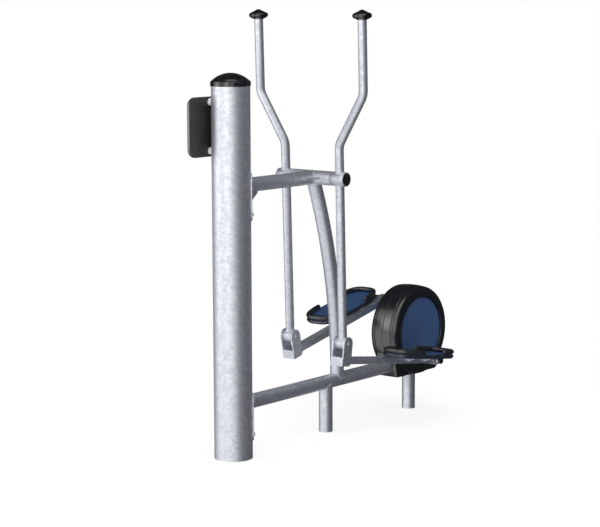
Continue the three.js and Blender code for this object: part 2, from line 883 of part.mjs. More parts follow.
function swingArm(name, side) {
  const { armLean } = restPose(side);
  const arm = new THREE.Group();
  arm.position.set(axleX, 0, upperBeamHeight);
  arm.rotation.y = -armLean;
  const corner = (offset, height) => new THREE.Vector3(0, side * offset, height);
  const path = (foot, top) => bent(
    [
      corner(armOffset, foot),
      corner(armOffset, armLowBend),
      corner(handleOffset, armHighBend),
      corner(handleOffset, top),
    ],
    armBendRadius,
  );
  const tube = solid(swept(path(-armLength, armTop), gripRadius, gripSides));
  const tubeBore = solid(swept(path(-armLength, armTop + overrun), gripRadius - gripWall, gripSides));
  const sleeve = solid(rodY(tubeRadius, sleeveInner, sleeveOuter, tubeSides, side));
  const sleeveBore = rodY(shaftBore, sleeveInner - overrun, sleeveOuter + overrun, tubeSides, side);
  const plugSeat = sleeveOuter - plugDepth - gap;
  const plugBore = rodY(around(plugRadius, tubeSides), plugSeat, sleeveOuter + overrun, tubeSides, side);
  const hubInner = armOffset - hubWidth / 2;
  const hubOuter = armOffset + hubWidth / 2;
  const hub = moved(rodY(hubRadius, hubInner, hubOuter, tubeSides, side), 0, 0, -armLength);
  const hubBoreRadius = around(pivotBoltRadius, smallSides);
  const hubBore = rodY(hubBoreRadius, hubInner - overrun, hubOuter + overrun, smallSides, side);
  const bores = [solid(sleeveBore), solid(plugBore), solid(moved(hubBore, 0, 0, -armLength))];
  const body = tube.add(sleeve).add(solid(hub)).subtract(joined([tubeBore, ...bores]));
  arm.add(named(`${name}_arm`, body, galvanised));

  const plugProfile = [
    [0, sleeveOuter - plugDepth],
    [plugRadius, sleeveOuter - plugDepth],
    ...dome(plugRadius, plugDome, sleeveOuter),
  ];
  const plug = turned(plugProfile, tubeSides);
  plug.rotateX(-side * Math.PI / 2);
  arm.add(named(`${name}_sleeve_plug`, solid(plug), blackSatin));

  const socket = around(gripRadius, gripSides);
  const lower = dome(handleCapRadius, handleCapSkirt, 0, handleCapMouth).map(([r, z]) => [r, -z]);
  const capProfile = [
    [0, gap],
    [socket, gap],
    [socket, -handleCapSkirt],
    ...lower.reverse(),
    ...dome(handleCapRadius, handleCapRise, 0, handleTipRadius).slice(1),
    [handleTipRadius, handleCapRise + handleTipRise - handleTipEdge],
    [handleTipRadius - handleTipEdge, handleCapRise + handleTipRise],
    [0, handleCapRise + handleTipRise],
  ];
  const cap = named(`${name}_handle_cap`, solid(turned(capProfile, tubeSides)), blackGloss);
  cap.position.set(0, side * handleOffset, armTop);
  arm.add(cap);
  return arm;
}

walker.add(swingArm('left', -1), swingArm('right', 1));

// Pedal bars

const barTop = -barDrop + barHeight / 2;
const barBottom = -barDrop - barHeight / 2;
const lowPlateBottom = barTop + footPadHeight + gap;
const ringHeight = lowPlateBottom + plateThickness + gap + ringRadius;
const plateBottom = ringHeight + ringRadius + gap;
const railHeight = plateBottom + plateThickness + gap + railRadius;

function pedalBarBody(side) {
  const middle = side * armOffset;
  const cheek = new THREE.Shape();
  cheek.absarc(0, 0, cheekRadius, 0, Math.PI);
  cheek.lineTo(-cheekRadius, -cheekBottom);
  cheek.lineTo(cheekRadius - cheekChamfer, -cheekBottom);
  cheek.lineTo(cheekRadius, -cheekBottom + cheekChamfer);
  const parts = [];
  for (const sign of [-1, 1]) {
    const place = middle + sign * (cheekInner + cheekThickness / 2);
    parts.push(solid(uprightPlate(cheek, place, cheekThickness)));
  }
  const forkHalf = cheekInner + cheekThickness;
  const plateBack = -forkPlateFace + forkPlateThickness;
  const plateTop = -cheekBottom + forkPlateHeight;
  parts.push(
    solid(box(-forkPlateFace, plateBack, middle - forkHalf, middle + forkHalf, -cheekBottom, plateTop)),
  );
  const blockEnd = cheekRadius - cheekChamfer;
  parts.push(
    solid(
      box(
        plateBack - forkPlateThickness / 2,
        blockEnd,
        middle - cheekInner - cheekThickness / 2,
        middle + cheekInner + cheekThickness / 2,
        barBottom,
        barTop,
      ),
    ),
  );
  const halfWidth = barWidth / 2;
  parts.push(solid(box(plateBack, barReach, middle - halfWidth, middle + halfWidth, barBottom, barTop)));
  const housingOuter = armOffset + halfWidth;
  const housing = rodY(housingRadius, housingInner, housingOuter, tubeSides, side);
  const bossOuter = housingOuter + bossRun;
  const boss = rodY(bossRadius, armOffset, bossOuter, tubeSides, side);
  parts.push(solid(moved(housing, barReach, 0, -pinDrop)), solid(moved(boss, barReach, 0, -pinDrop)));
  for (const place of footGussetPlaces) {
    const root = side * (armOffset + halfWidth - barWall);
    const tip = side * (armOffset + halfWidth + footGussetReach);
    const shape = outline([
      [root, barTop],
      [tip, barTop],
      [tip, barTop - footGussetToe],
      [root, barTop - footGussetDrop],
    ]);
    parts.push(solid(crossPlate(shape, place, footGussetThickness)));
  }
  for (const place of footPadPlaces) {
    const padEnds = [place - footPadHalfLength, place + footPadHalfLength];
    const padTop = barTop + footPadHeight;
    parts.push(solid(box(...padEnds, middle - halfWidth, middle + halfWidth, barTop - barWall, padTop)));
  }
  const inner = halfWidth - barWall;
  const hollow = box(
    blockEnd,
    barReach,
    middle - inner,
    middle + inner,
    barBottom + barWall,
    barTop - barWall,
  );
  const pinBoreRadius = around(pinRadius, tubeSides);
  const pinBore = rodY(pinBoreRadius, housingInner - overrun, bossOuter + overrun, tubeSides, side);
  const boltBore = rodY(
    around(pivotBoltRadius, smallSides),
    armOffset - forkHalf - overrun,
    armOffset + forkHalf + overrun,
    smallSides,
    side,
  );
  return joined(parts)
    .subtract(solid(hollow))
    .subtract(solid(moved(pinBore, barReach, 0, -pinDrop)))
    .subtract(solid(boltBore));
}

// Pivot bolt through the fork, with a domed head at each end
function pivotBolt() {
  const head = cheekInner + cheekThickness + gap;
  const profile = [
    [0, -head - pivotHeadRise],
    ...dome(pivotHeadRadius, pivotHeadRise, head).map(([r, z]) => [r, -z]).reverse().slice(1),
    [pivotBoltRadius, -head],
    [pivotBoltRadius, head],
    ...dome(pivotHeadRadius, pivotHeadRise, head),
  ];
  return turned(profile, smallSides);
}

// Crank pin, with a flange that faces the crank disc
function crankPin(pinEnd) {
  const flangeStart = discFace + gap;
  const flangeEnd = flangeStart + pinFlangeThickness;
  return turned(
    [
      [0, flangeStart],
      [pinFlangeRadius, flangeStart],
      [pinFlangeRadius, flangeEnd],
      [pinRadius, flangeEnd],
      [pinRadius, pinEnd],
      [0, pinEnd],
    ],
    tubeSides,
  );
}

// Cap over the pin's outer end
function pinCap(start, pinEnd) {
  const end = start + pinCapThickness;
  const socket = around(pinRadius, tubeSides);
  return turned(
    [
      [0, pinEnd + gap],
      [socket, pinEnd + gap],
      [socket, start],
      [bossRadius, start],
      [bossRadius, end - pinCapEdge],
      [bossRadius - pinCapEdge, end],
      [0, end],
    ],
    tubeSides,
  );
}

// A rail round one end of the footplate, with round ends
function railBody(angles) {
  const path = footPath(angles, 0, 0);
  const ends = [path.points[0], path.points[path.points.length - 1]];
  const balls = ends.map((end) => {
    const ball = new THREE.SphereGeometry(railRadius, smallSides, smallSides / 2);
    return solid(moved(ball, end.x, end.y, end.z));
  });
  return solid(swept(path, railRadius, smallSides)).add(balls[0]).add(balls[1]);
}

// Angles of the outline from one place along the bar, round the end, to the same place on the other side
function railAngles(end) {
  const start = Math.acos((Math.abs(end) / footHalfLength) ** (footPower / 2));
  const angles = [];
  const steps = 2 * footQuarter;
  for (let i = 0; i <= steps; i += 1) angles.push(-start + (2 * start * i) / steps);
  return end < 0 ? angles.map((angle) => angle + Math.PI) : angles;
}

function pedalBar(name, side) {
  const { pivot, barTilt } = restPose(side);
  const bar = new THREE.Group();
  bar.position.copy(pivot);
  bar.rotation.y = -barTilt;
  bar.add(named(`${name}_pedal_bar`, pedalBarBody(side), galvanised));

  const bolt = pivotBolt();
  bolt.rotateX(Math.PI / 2);
  bar.add(named(`${name}_pivot_bolt`, solid(moved(bolt, 0, side * armOffset, 0)), stainless));

  const capStart = armOffset + barWidth / 2 + bossRun + gap;
  const pinEnd = capStart + pinCapThickness - pinCapFloor;
  const pieces = [
    ['crank_pin', crankPin(pinEnd), stainless],
    ['pin_cap', pinCap(capStart, pinEnd), blackSatin],
  ];
  for (const [piece, geometry, finish] of pieces) {
    geometry.rotateX(-side * Math.PI / 2);
    bar.add(named(`${name}_${piece}`, solid(moved(geometry, barReach, 0, -pinDrop)), finish));
  }

  const foot = new THREE.Group();
  foot.position.set(footCentre, side * footOffset, 0);
  const plates = [plateBottom, lowPlateBottom].map((bottom) =>
    solid(flatPlate(footShape(-plateReach), bottom, plateThickness)),
  );
  const coreInset = ringRadius + gap - ringReach;
  const coreHeight = plateBottom - lowPlateBottom;
  const core = solid(flatPlate(footShape(coreInset), lowPlateBottom + plateThickness / 2, coreHeight));
  foot.add(named(`${name}_footplate`, joined([...plates, core]), bluePaint));

  const firstHalf = footPath(footAngles(0, Math.PI), -ringReach, ringHeight);
  const secondHalf = footPath(footAngles(Math.PI, Math.PI * 2), -ringReach, ringHeight);
  const ringHalves = [firstHalf, secondHalf].map((path) => solid(swept(path, ringRadius, smallSides)));
  foot.add(named(`${name}_foot_ring`, joined(ringHalves), blackRubber));

  for (const [piece, end] of [['toe_rail', toeRailEnd], ['heel_rail', heelRailEnd]]) {
    const rail = named(`${name}_${piece}`, railBody(railAngles(end)), blackRubber);
    rail.position.z = railHeight;
    foot.add(rail);
  }
  bar.add(foot);
  return bar;
}

walker.add(pedalBar('left', -1), pedalBar('right', 1));

// The origin is on the ground, midway between the sign panel's front edge and the drum's rear

walker.position.x = -(crankX + drumRadius - signWidth / 2) / 2;
walker.updateMatrixWorld(true);

export default walker;
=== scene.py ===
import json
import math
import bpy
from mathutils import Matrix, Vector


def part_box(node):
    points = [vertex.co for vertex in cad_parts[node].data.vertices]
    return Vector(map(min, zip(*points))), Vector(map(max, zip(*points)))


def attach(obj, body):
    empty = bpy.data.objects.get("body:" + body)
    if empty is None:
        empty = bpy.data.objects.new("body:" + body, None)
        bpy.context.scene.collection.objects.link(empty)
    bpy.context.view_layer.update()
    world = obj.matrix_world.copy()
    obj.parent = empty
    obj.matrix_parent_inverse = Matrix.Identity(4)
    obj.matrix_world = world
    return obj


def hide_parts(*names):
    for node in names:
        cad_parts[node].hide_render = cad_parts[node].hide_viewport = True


bl_info = {
    "name": "Outdoor air walker",
    "version": (1, 0, 0),
    "blender": (4, 5, 0),
    "location": "View3D > Sidebar > Air walker",
    "description": "Dresses the jointed frame of an outdoor air walker and sets it in a pale studio",
    "category": "Object",
}

import bmesh
import bpy
from bpy.props import FloatProperty, FloatVectorProperty, PointerProperty
from mathutils import Matrix, Vector

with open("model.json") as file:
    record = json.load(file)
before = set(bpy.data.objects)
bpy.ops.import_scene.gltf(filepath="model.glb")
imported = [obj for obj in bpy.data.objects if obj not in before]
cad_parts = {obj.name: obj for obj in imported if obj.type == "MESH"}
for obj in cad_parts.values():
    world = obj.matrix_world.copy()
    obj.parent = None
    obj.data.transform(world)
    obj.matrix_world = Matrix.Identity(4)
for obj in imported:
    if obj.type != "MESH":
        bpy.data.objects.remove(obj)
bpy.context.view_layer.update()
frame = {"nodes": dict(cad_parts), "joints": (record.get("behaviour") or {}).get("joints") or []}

# Sizes in metres. A name that ends in _X is a place measured from the post's axis.

POST_RADIUS = 0.0795
POST_WALL = 0.0045
POST_HEIGHT = 1.550
POST_CAP_RADIUS = 0.082
POST_CAP_SKIRT = 0.020
POST_CAP_RISE = 0.033
POST_CAP_EDGE = 0.0035
POST_CAP_HEM = 0.0008

SIGN_WIDTH = 0.310
SIGN_HEIGHT = 0.243
SIGN_DROP = 0.307
SIGN_THICKNESS = 0.014
SIGN_CORNER = 0.040
SIGN_EDGE = 0.003
SIGN_STANDOFF = 0.084
SPACER_RADIUS = 0.015
SPACER_OFFSET = 0.031
SPACER_DROPS = (("low", 0.283), ("high", 0.085))

SADDLE_SEAT = 0.0006
SADDLE_THICKNESS = 0.005
SADDLE_HALF_ANGLE = math.radians(60)
SADDLE_CHAMFER = 0.020
SADDLE_HEIGHT = 0.196
SADDLE_EDGE = 0.001
SADDLE_BOTTOMS = (("upper", 0.982), ("lower", 0.070))
BOLT_ANGLE = math.radians(50)
BOLT_EDGE = 0.028
BOLT_HEAD_RADIUS = 0.0085
BOLT_HEAD_RISE = 0.0045

TUBE_RADIUS = 0.03015
TUBE_WALL = 0.0032
GRIP_RADIUS = 0.019
GRIP_WALL = 0.0026
SHAFT_RADIUS = 0.022
UPPER_BEAM_HEIGHT = 1.122
LOWER_BEAM_HEIGHT = 0.218
AXLE_X = 0.525
AXLE_TUBE_EDGE = 0.0008
STRUT_FOOT_X = 0.692
FRONT_LEG_X = 0.612
REAR_LEG_X = 1.226
BEAM_END_RUN = 0.046
GUSSET_EDGE = 0.0012

ARM_OFFSET = 0.1466
HANDLE_OFFSET = 0.2783
ARM_LENGTH = 0.7053
ARM_LOW_BEND = 0.143
ARM_HIGH_BEND = 0.356
ARM_TOP = 0.6835
ARM_BEND_RADIUS = 0.076
SLEEVE_HALF = 0.036
PLUG_RADIUS = 0.027
PLUG_DEPTH = 0.008
PLUG_DOME = 0.0025
HUB_RADIUS = 0.026
HUB_HALF = 0.0235

# A handle cap rises above its tube's end and has a skirt below it. Its outline is given in shares of these.
HANDLE_CAP_RADIUS = 0.041
HANDLE_CAP_RISE = 0.0255
HANDLE_CAP_SKIRT = 0.0165
SKIRT_SHARES = ((0.53, -0.94), (0.77, -0.68), (0.95, -0.38), (1.0, -0.02))
CONE_SHARES = ((0.975, 0.22), (0.84, 0.42), (0.58, 0.60), (0.33, 0.81), (0.16, 0.96), (0.025, 1.0))

DRUM_RADIUS = 0.206
DRUM_HALF_WIDTH = 0.073
DRUM_SHOULDER = 0.025
DRUM_OPENING = 0.156
DRUM_FLOOR = 0.1704
CASING_WALL = 0.004
CASING_CROWN = 0.0028
CASING_LIP = 0.0015
SEAM_GAP = 0.0003
SEAM_EDGE = 0.0014
SIDE_GROOVE = 0.0475
SIDE_GROOVE_WIDTH = 0.0035
SIDE_GROOVE_DEPTH = 0.0022
DISC_RADIUS = 0.153
DISC_FACE = 0.0655
DISC_THICKNESS = 0.008
DISC_EDGE = 0.0015
SHELF_CLEARANCE = 0.0035
SHELF_DEPTH = 0.008
SHELF_WALL = 0.0025
BOX_FRONT_X = 1.066
BOX_REAR_X = 1.380
BOX_BOTTOM = 0.170
BOX_TOP = 0.280
BOX_HALF_WIDTH = 0.055
BOX_CORNER = 0.024
BOX_FRONT_ROUND = 0.016
BOX_FRONT_LEAN = 0.0255
BOX_EDGE = 0.006

BAR_REACH = 0.6897
PIN_DROP = 0.075
BAR_WIDTH = 0.040
BAR_HEIGHT = 0.030
BAR_WALL = 0.003
BAR_DROP = 0.0745
BAR_CORNER = 0.0035
BAR_EDGE = 0.0012
CHEEK_RADIUS = 0.029
CHEEK_INNER = 0.0245
CHEEK_OUTER = 0.0325
CHEEK_MIDDLE = 0.0285
CHEEK_WALL = 0.0058
CHEEK_BOTTOM = 0.097
CHEEK_CHAMFER = 0.012
FORK_PLATE_THICKNESS = 0.005
FORK_PLATE_HEIGHT = 0.031
FORK_PLATE_FACE = 0.031
HOUSING_RADIUS = 0.022
HOUSING_INNER = 0.100
BOSS_RADIUS = 0.0155
BOSS_RUN = 0.014
PIN_RADIUS = 0.010
PIN_SEAT = 0.004
PIN_FLANGE_RADIUS = 0.020
PIN_FLANGE_THICKNESS = 0.008
PIN_CAP_THICKNESS = 0.0115
PIN_CAP_BORE = 0.005
PIN_CAP_EDGE = 0.003
PIVOT_BOLT_RADIUS = 0.006
PIVOT_HEAD_RADIUS = 0.0085
PIVOT_HEAD_RISE = 0.0035
FOOT_GUSSET_THICKNESS = 0.006
FOOT_GUSSET_REACH = 0.044
FOOT_GUSSET_DROP = 0.023
FOOT_GUSSET_TOE = 0.004
FOOT_GUSSET_PLACES = (0.464, 0.592)
FOOT_PAD_HEIGHT = 0.0062
FOOT_PAD_HALF_LENGTH = 0.027
FOOT_PAD_PLACES = (0.395, 0.522, 0.614)

FOOT_CENTRE = 0.464
FOOT_OFFSET = 0.221
FOOT_POWER = 3.5
FOOT_HALF_LENGTH = 0.193
FOOT_HALF_WIDTH = 0.079
PLATE_REACH = 0.005
PLATE_THICKNESS = 0.0022
PLATE_EDGE = 0.0007
RING_REACH = 0.003
RING_RADIUS = 0.0069
RAIL_RADIUS = 0.0105
RAIL_ENDS = (("toe_rail", -0.073), ("heel_rail", 0.086))

# The play between neighbours, the chamfer of turned steel, and the radius at which a turned end is closed
GAP = 0.0003
TURNED_EDGE = 0.001
NEAR_AXIS = 0.001

WELD_RADIUS = 0.0022
WELD_RIPPLE = 0.0005
WELD_PITCH = 0.0042

SIDES = (("left", -1), ("right", 1))
ALONG = Vector((1, 0, 0))
ACROSS = Vector((0, 1, 0))
UP = Vector((0, 0, 1))

CAMERA_PLACE = Vector((-6.425, -5.083, 1.906))
CAMERA_AZIMUTH = math.radians(39.10)
CAMERA_DROP = math.radians(8.14)
CAMERA_ROLL = math.radians(-0.177)
CAMERA_LENS = 114.55
CAMERA_SHIFT = (-0.0077, 0.00125)

# Panels of light: name, setting of the power, size, place as azimuth, distance and height, and tilt down
PANELS = (
    ("Left panel", "key", (1.3, 2.5), (146, 4.0, 1.45), 0),
    ("Front panel", "fill", (1.1, 2.5), (196, 4.0, 1.45), 0),
    ("Top panel", "top", (2.2, 2.2), (225, 1.2, 3.4), 70),
)
FLOOR_REACH = 16.0
FLOOR_TONE = 0.8
FLOOR_DIMMING = 0.68
MIRRORED_SKY = 0.85
FLAG_COLOUR = (0.025, 0.029, 0.042, 1)
WALL_TURNS = (237, 474)
WALL_DISTANCE = 12.0
WALL_HEIGHT = 7.0
SHEET_HEIGHT = -2.0
SHEET_NEAR = 0.5
ROOF_START = -0.4
WHITE = (1, 1, 1, 1)


def joint_place(name):
    joint = next(j for j in frame["joints"] if j["name"] == name)
    return Vector(joint["pos_m"])


def middle_of(name):
    low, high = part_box(name)
    return (low + high) / 2


POST = Vector((middle_of("post").x, 0, 0))
AXLE = joint_place("left_arm_swing")
CRANK = joint_place("crank_turn")


def from_post(x, y, z):
    """A place given from the foot of the post's axis."""
    return POST + Vector((x, y, z))


def arm_matrix(name):
    """The place of a swing arm at rest: its axle, turned so that its lower end is straight below."""
    pivot = joint_place(f"{name}_bar_tilt")
    lean = math.atan2(pivot.x - AXLE.x, AXLE.z - pivot.z)
    return Matrix.Translation(AXLE) @ Matrix.Rotation(-lean, 4, "Y")


def bar_matrix(name):
    """The place of a pedal bar at rest: its pivot, turned so that the bar runs along X."""
    pivot = joint_place(f"{name}_bar_tilt")
    pin = middle_of(f"{name}_crank_pin")
    tilt = math.atan2(pin.z - pivot.z, pin.x - pivot.x) + math.atan2(PIN_DROP, BAR_REACH)
    return Matrix.Translation(pivot) @ Matrix.Rotation(-tilt, 4, "Y")


# Settings


class WalkerSteel(bpy.types.PropertyGroup):
    light: FloatVectorProperty(
        name="Light zinc", description="Colour of the bright zinc flakes",
        subtype="COLOR", default=(0.86, 0.88, 0.93),
    )
    dark: FloatVectorProperty(
        name="Dark zinc", description="Colour of the dull zinc flakes",
        subtype="COLOR", default=(0.71, 0.74, 0.81),
    )
    flake: FloatProperty(
        name="Flake size", description="Width of a zinc flake", subtype="DISTANCE", default=0.012, min=0.001
    )
    bead: FloatProperty(
        name="Weld bead", description="Radius of a weld bead",
        subtype="DISTANCE", default=WELD_RADIUS, min=0.001,
    )


class WalkerPlastics(bpy.types.PropertyGroup):
    casing: FloatVectorProperty(
        name="Casing", description="Colour of the drum casing",
        subtype="COLOR", default=(0.005, 0.005, 0.006),
    )
    caps: FloatVectorProperty(
        name="Caps", description="Colour of the caps and plugs",
        subtype="COLOR", default=(0.004, 0.004, 0.005),
    )
    sign: FloatVectorProperty(
        name="Sign board", description="Colour of the sign board",
        subtype="COLOR", default=(0.022, 0.022, 0.024),
    )
    rubber: FloatVectorProperty(
        name="Rubber", description="Colour of the rails and rings",
        subtype="COLOR", default=(0.016, 0.016, 0.016),
    )
    spacer: FloatVectorProperty(
        name="Spacers", description="Colour of the sign's spacers",
        subtype="COLOR", default=(0.93, 0.93, 0.94),
    )


class WalkerPaint(bpy.types.PropertyGroup):
    blue: FloatVectorProperty(
        name="Blue", description="Colour of the discs and footplates",
        subtype="COLOR", default=(0.026, 0.064, 0.158),
    )


class WalkerStage(bpy.types.PropertyGroup):
    key: FloatProperty(
        name="Left panel", description="Power of the panel at the left", subtype="POWER", default=15.0
    )
    fill: FloatProperty(
        name="Front panel", description="Power of the panel in front", subtype="POWER", default=13.5
    )
    top: FloatProperty(name="Top panel", description="Power of the panel above", subtype="POWER", default=18.0)
    air: FloatProperty(
        name="Air light", description="Strength of the light from all sides", default=0.94, min=0.0
    )
    floor: FloatProperty(name="Floor glow", description="Own light of the floor", default=0.762, min=0.0)


GROUPS = (
    ("walker_steel", WalkerSteel),
    ("walker_plastics", WalkerPlastics),
    ("walker_paint", WalkerPaint),
    ("walker_stage", WalkerStage),
)


# Materials

# Each look has its material's name, its slot in the record, and how its surface answers to light.
# A moulded look takes its colour from a setting; where a highlight is painted, that colour is first made
# lighter by a factor. Its scuffs are that colour times gain, plus lift.
LOOKS = {
    "steel": dict(name="Galvanised steel", slot="galvanised_steel", bump=0.08, height=0.0004, metallic=0.92),
    "stainless": dict(name="Stainless steel", slot="stainless_steel", bump=0.06, height=0.0002, metallic=0.9),
    "caps": dict(
        name="Gloss black caps", slot="black_gloss", lift=0.012, smooth=0.12, dull=0.18,
        bump=0.03, height=0.0002, coat=0.5, specular=0.7, coat_ior=1.6,
    ),
    "casing": dict(
        name="Moulded casing", slot="black_satin", lift=0.003, smooth=0.28, dull=0.32,
        bump=0.02, height=0.0002, coat=1.0, specular=0.8, coat_ior=1.7,
    ),
    "sign": dict(
        name="Sign board", slot="black_satin", lift=0.008, smooth=0.4, dull=0.5, bump=0.08, height=0.0002
    ),
    # The sign's edge faces: the board's colour made 1.6 times lighter, a painted highlight, under a glossier
    # coat.
    "sign_edge": dict(
        name="Sign edge", slot="black_satin", setting="sign", painted_highlight_gain=1.6, gain=0.8, smooth=0.3, dull=0.4,
        bump=0.08, height=0.0002, coat=1.0, specular=0.8, coat_ior=1.7,
    ),
    "rubber": dict(
        name="Black rubber", slot="black_rubber", lift=0.006, smooth=0.34, dull=0.42,
        bump=0.08, height=0.0003, coat=0.6, specular=0.8, coat_ior=1.6,
    ),
    "blue": dict(
        name="Blue powder coat", slot="blue_paint", gain=1.15, grain=500.0, smooth=0.36, dull=0.46,
        bump=0.12, height=0.0003,
    ),
    "spacer": dict(
        name="White spacers", slot="white_plastic", gain=0.92, smooth=0.4, dull=0.5, bump=0.05, height=0.0002
    ),
}
BRIGHT_STEEL = (0.86, 0.86, 0.85, 1)
DULL_STEEL = (0.72, 0.72, 0.71, 1)
BRUSHED_FLAKE = 0.004
COAT_ROUGHNESS = 0.26


def fill(made, values):
    """Give each named socket of a node its value, or its link where the value is a socket."""
    for key, value in values.items():
        if isinstance(value, bpy.types.NodeSocket):
            made.id_data.links.new(value, made.inputs[key])
        else:
            made.inputs[key].default_value = value


def node(tree, kind, values=None, **settings):
    """A shader node with its settings and the values or links of its sockets."""
    made = tree.nodes.new("ShaderNode" + kind)
    for name, value in settings.items():
        setattr(made, name, value)
    fill(made, values or {})
    return made


def noise(tree, place, scale, detail, roughness=0.5):
    """A cloud of noise over the object, with more or less detail."""
    return node(tree, "TexNoise", {"Vector": place, "Scale": scale, "Detail": detail, "Roughness": roughness})


def stretched(tree, value, **ends):
    """A value moved from one range to another; From Min and the like are given as from_min."""
    named = {key.replace("_", " ").title(): end for key, end in ends.items()}
    return node(tree, "MapRange", {"Value": value, **named}).outputs[0]


def mixed(tree, share, first, second):
    return node(tree, "Mix", {0: share, 2: first, 3: second}, data_type="FLOAT").outputs[0]


def tinted(tree, share, first, second):
    return node(tree, "Mix", {0: share, 6: first, 7: second}, data_type="RGBA").outputs[2]


def zinc(tree, given, place):
    """Mottled zinc: warped flakes, clouds and fine grain set colour, roughness and height."""
    density = node(tree, "Math", {0: 1, 1: given["Flake"]}, operation="DIVIDE").outputs[0]
    warp = noise(tree, place, scale=34, detail=3).outputs["Color"]
    shift = {0: warp, 1: (0.03, 0.03, 0.03), 2: place}
    bent = node(tree, "VectorMath", shift, operation="MULTIPLY_ADD").outputs[0]
    cells = {"Vector": bent, "Scale": density, "Smoothness": 0.2}
    flakes = node(tree, "TexVoronoi", cells, feature="SMOOTH_F1").outputs["Color"]
    tone = node(tree, "SeparateColor", {0: flakes}).outputs[0]
    cloud = noise(tree, place, scale=26, detail=5, roughness=0.62).outputs["Fac"]
    fine = noise(tree, place, scale=420, detail=2).outputs["Fac"]
    grain = mixed(tree, 0.12, mixed(tree, 0.4, tone, cloud), fine)
    spread = stretched(tree, grain, from_min=0.28, from_max=0.72)
    rough = stretched(tree, spread, to_min=0.54, to_max=0.49)
    return tinted(tree, spread, given["Dark"], given["Light"]), rough, grain


def moulding(tree, given, place):
    """Fine moulded grain with faint scuffs, which are duller."""
    grain = noise(tree, place, given["Grain"], detail=2).outputs["Fac"]
    haze = noise(tree, place, scale=14, detail=6, roughness=0.66).outputs["Fac"]
    amount = stretched(tree, haze, from_min=0.45, from_max=0.75)
    rough = mixed(tree, amount, given["Smooth"], given["Dull"])
    return tinted(tree, amount, given["Base"], given["Scuff"]), rough, grain


# Shader groups: what makes their outputs, and their inputs with a first value for each
PATTERNS = {
    "Zinc flakes": (zinc, {"Light": (0.8, 0.8, 0.8, 1), "Dark": (0.6, 0.6, 0.6, 1), "Flake": 0.016}),
    "Moulded grain": (
        moulding,
        {
            "Base": (0.01, 0.01, 0.01, 1), "Scuff": (0.05, 0.05, 0.05, 1),
            "Grain": 900.0, "Smooth": 0.25, "Dull": 0.4,
        },
    ),
}


def pattern(name):
    """A shader group that gives colour, roughness and height, made at its first use."""
    found = bpy.data.node_groups.get(name)
    if found:
        return found
    make, inputs = PATTERNS[name]
    tree = bpy.data.node_groups.new(name, "ShaderNodeTree")
    for label, value in inputs.items():
        kind = "NodeSocketColor" if isinstance(value, tuple) else "NodeSocketFloat"
        tree.interface.new_socket(name=label, in_out="INPUT", socket_type=kind).default_value = value
    outputs = {"Color": "NodeSocketColor", "Roughness": "NodeSocketFloat", "Height": "NodeSocketFloat"}
    for label, kind in outputs.items():
        tree.interface.new_socket(name=label, in_out="OUTPUT", socket_type=kind)
    given = tree.nodes.new("NodeGroupInput").outputs
    end = tree.nodes.new("NodeGroupOutput")
    place = node(tree, "TexCoord").outputs["Object"]
    fill(end, dict(zip(outputs, make(tree, given, place))))
    return tree


def full(colour):
    return (*colour, 1)


def new_material(name):
    """A material with nodes, its tree and its Principled shader."""
    made = bpy.data.materials.new(name)
    made.use_nodes = True
    return made, made.node_tree, made.node_tree.nodes["Principled BSDF"]


def finish(look):
    """The material of a look, made at its first use."""
    want = LOOKS[look]
    found = bpy.data.materials.get(want["name"])
    if found:
        return found
    scene = bpy.context.scene
    kind = "Zinc flakes"
    if look == "steel":
        steel = scene.walker_steel
        values = {"Light": full(steel.light), "Dark": full(steel.dark), "Flake": steel.flake}
    elif look == "stainless":
        values = {"Light": BRIGHT_STEEL, "Dark": DULL_STEEL, "Flake": BRUSHED_FLAKE}
    else:
        kind = "Moulded grain"
        setting = want.get("setting", look)
        owner = scene.walker_paint if setting == "blue" else scene.walker_plastics
        # A look with a painted highlight takes its setting's colour made lighter by this factor.
        base = [c * want.get("painted_highlight_gain", 1) for c in getattr(owner, setting)]
        scuff = [c * want.get("gain", 1) + want.get("lift", 0) for c in base]
        values = {"Base": full(base), "Scuff": full(scuff), "Smooth": want["smooth"], "Dull": want["dull"]}
        values["Grain"] = want.get("grain", 900.0)
    made, tree, shader = new_material(want["name"])
    surface = tree.nodes.new("ShaderNodeGroup")
    surface.node_tree = pattern(kind)
    fill(surface, values)
    given = surface.outputs
    relief = {"Strength": want["bump"], "Distance": want["height"], "Height": given["Height"]}
    fill(
        shader,
        {
            "Base Color": given["Color"],
            "Roughness": given["Roughness"],
            "Normal": node(tree, "Bump", relief).outputs["Normal"],
            "Metallic": want.get("metallic", 0.0),
            "Coat Weight": want.get("coat", 0.0),
            "Coat Roughness": COAT_ROUGHNESS,
            "Coat IOR": want.get("coat_ior", 1.5),
            "Specular IOR Level": want.get("specular", 0.5),
        },
    )
    return made


# Shapes


def full_turn(count):
    """The angles of a full turn in equal steps."""
    return [2 * math.pi * j / count for j in range(count)]


def quarter_turn(steps):
    """The angles of a quarter turn in equal steps, with both ends."""
    return [math.pi / 2 * i / steps for i in range(steps + 1)]


def circle(centre, radius, first, second, sides):
    """Points on a circle in the plane of two directions."""
    return [centre + radius * (math.cos(t) * first + math.sin(t) * second) for t in full_turn(sides)]


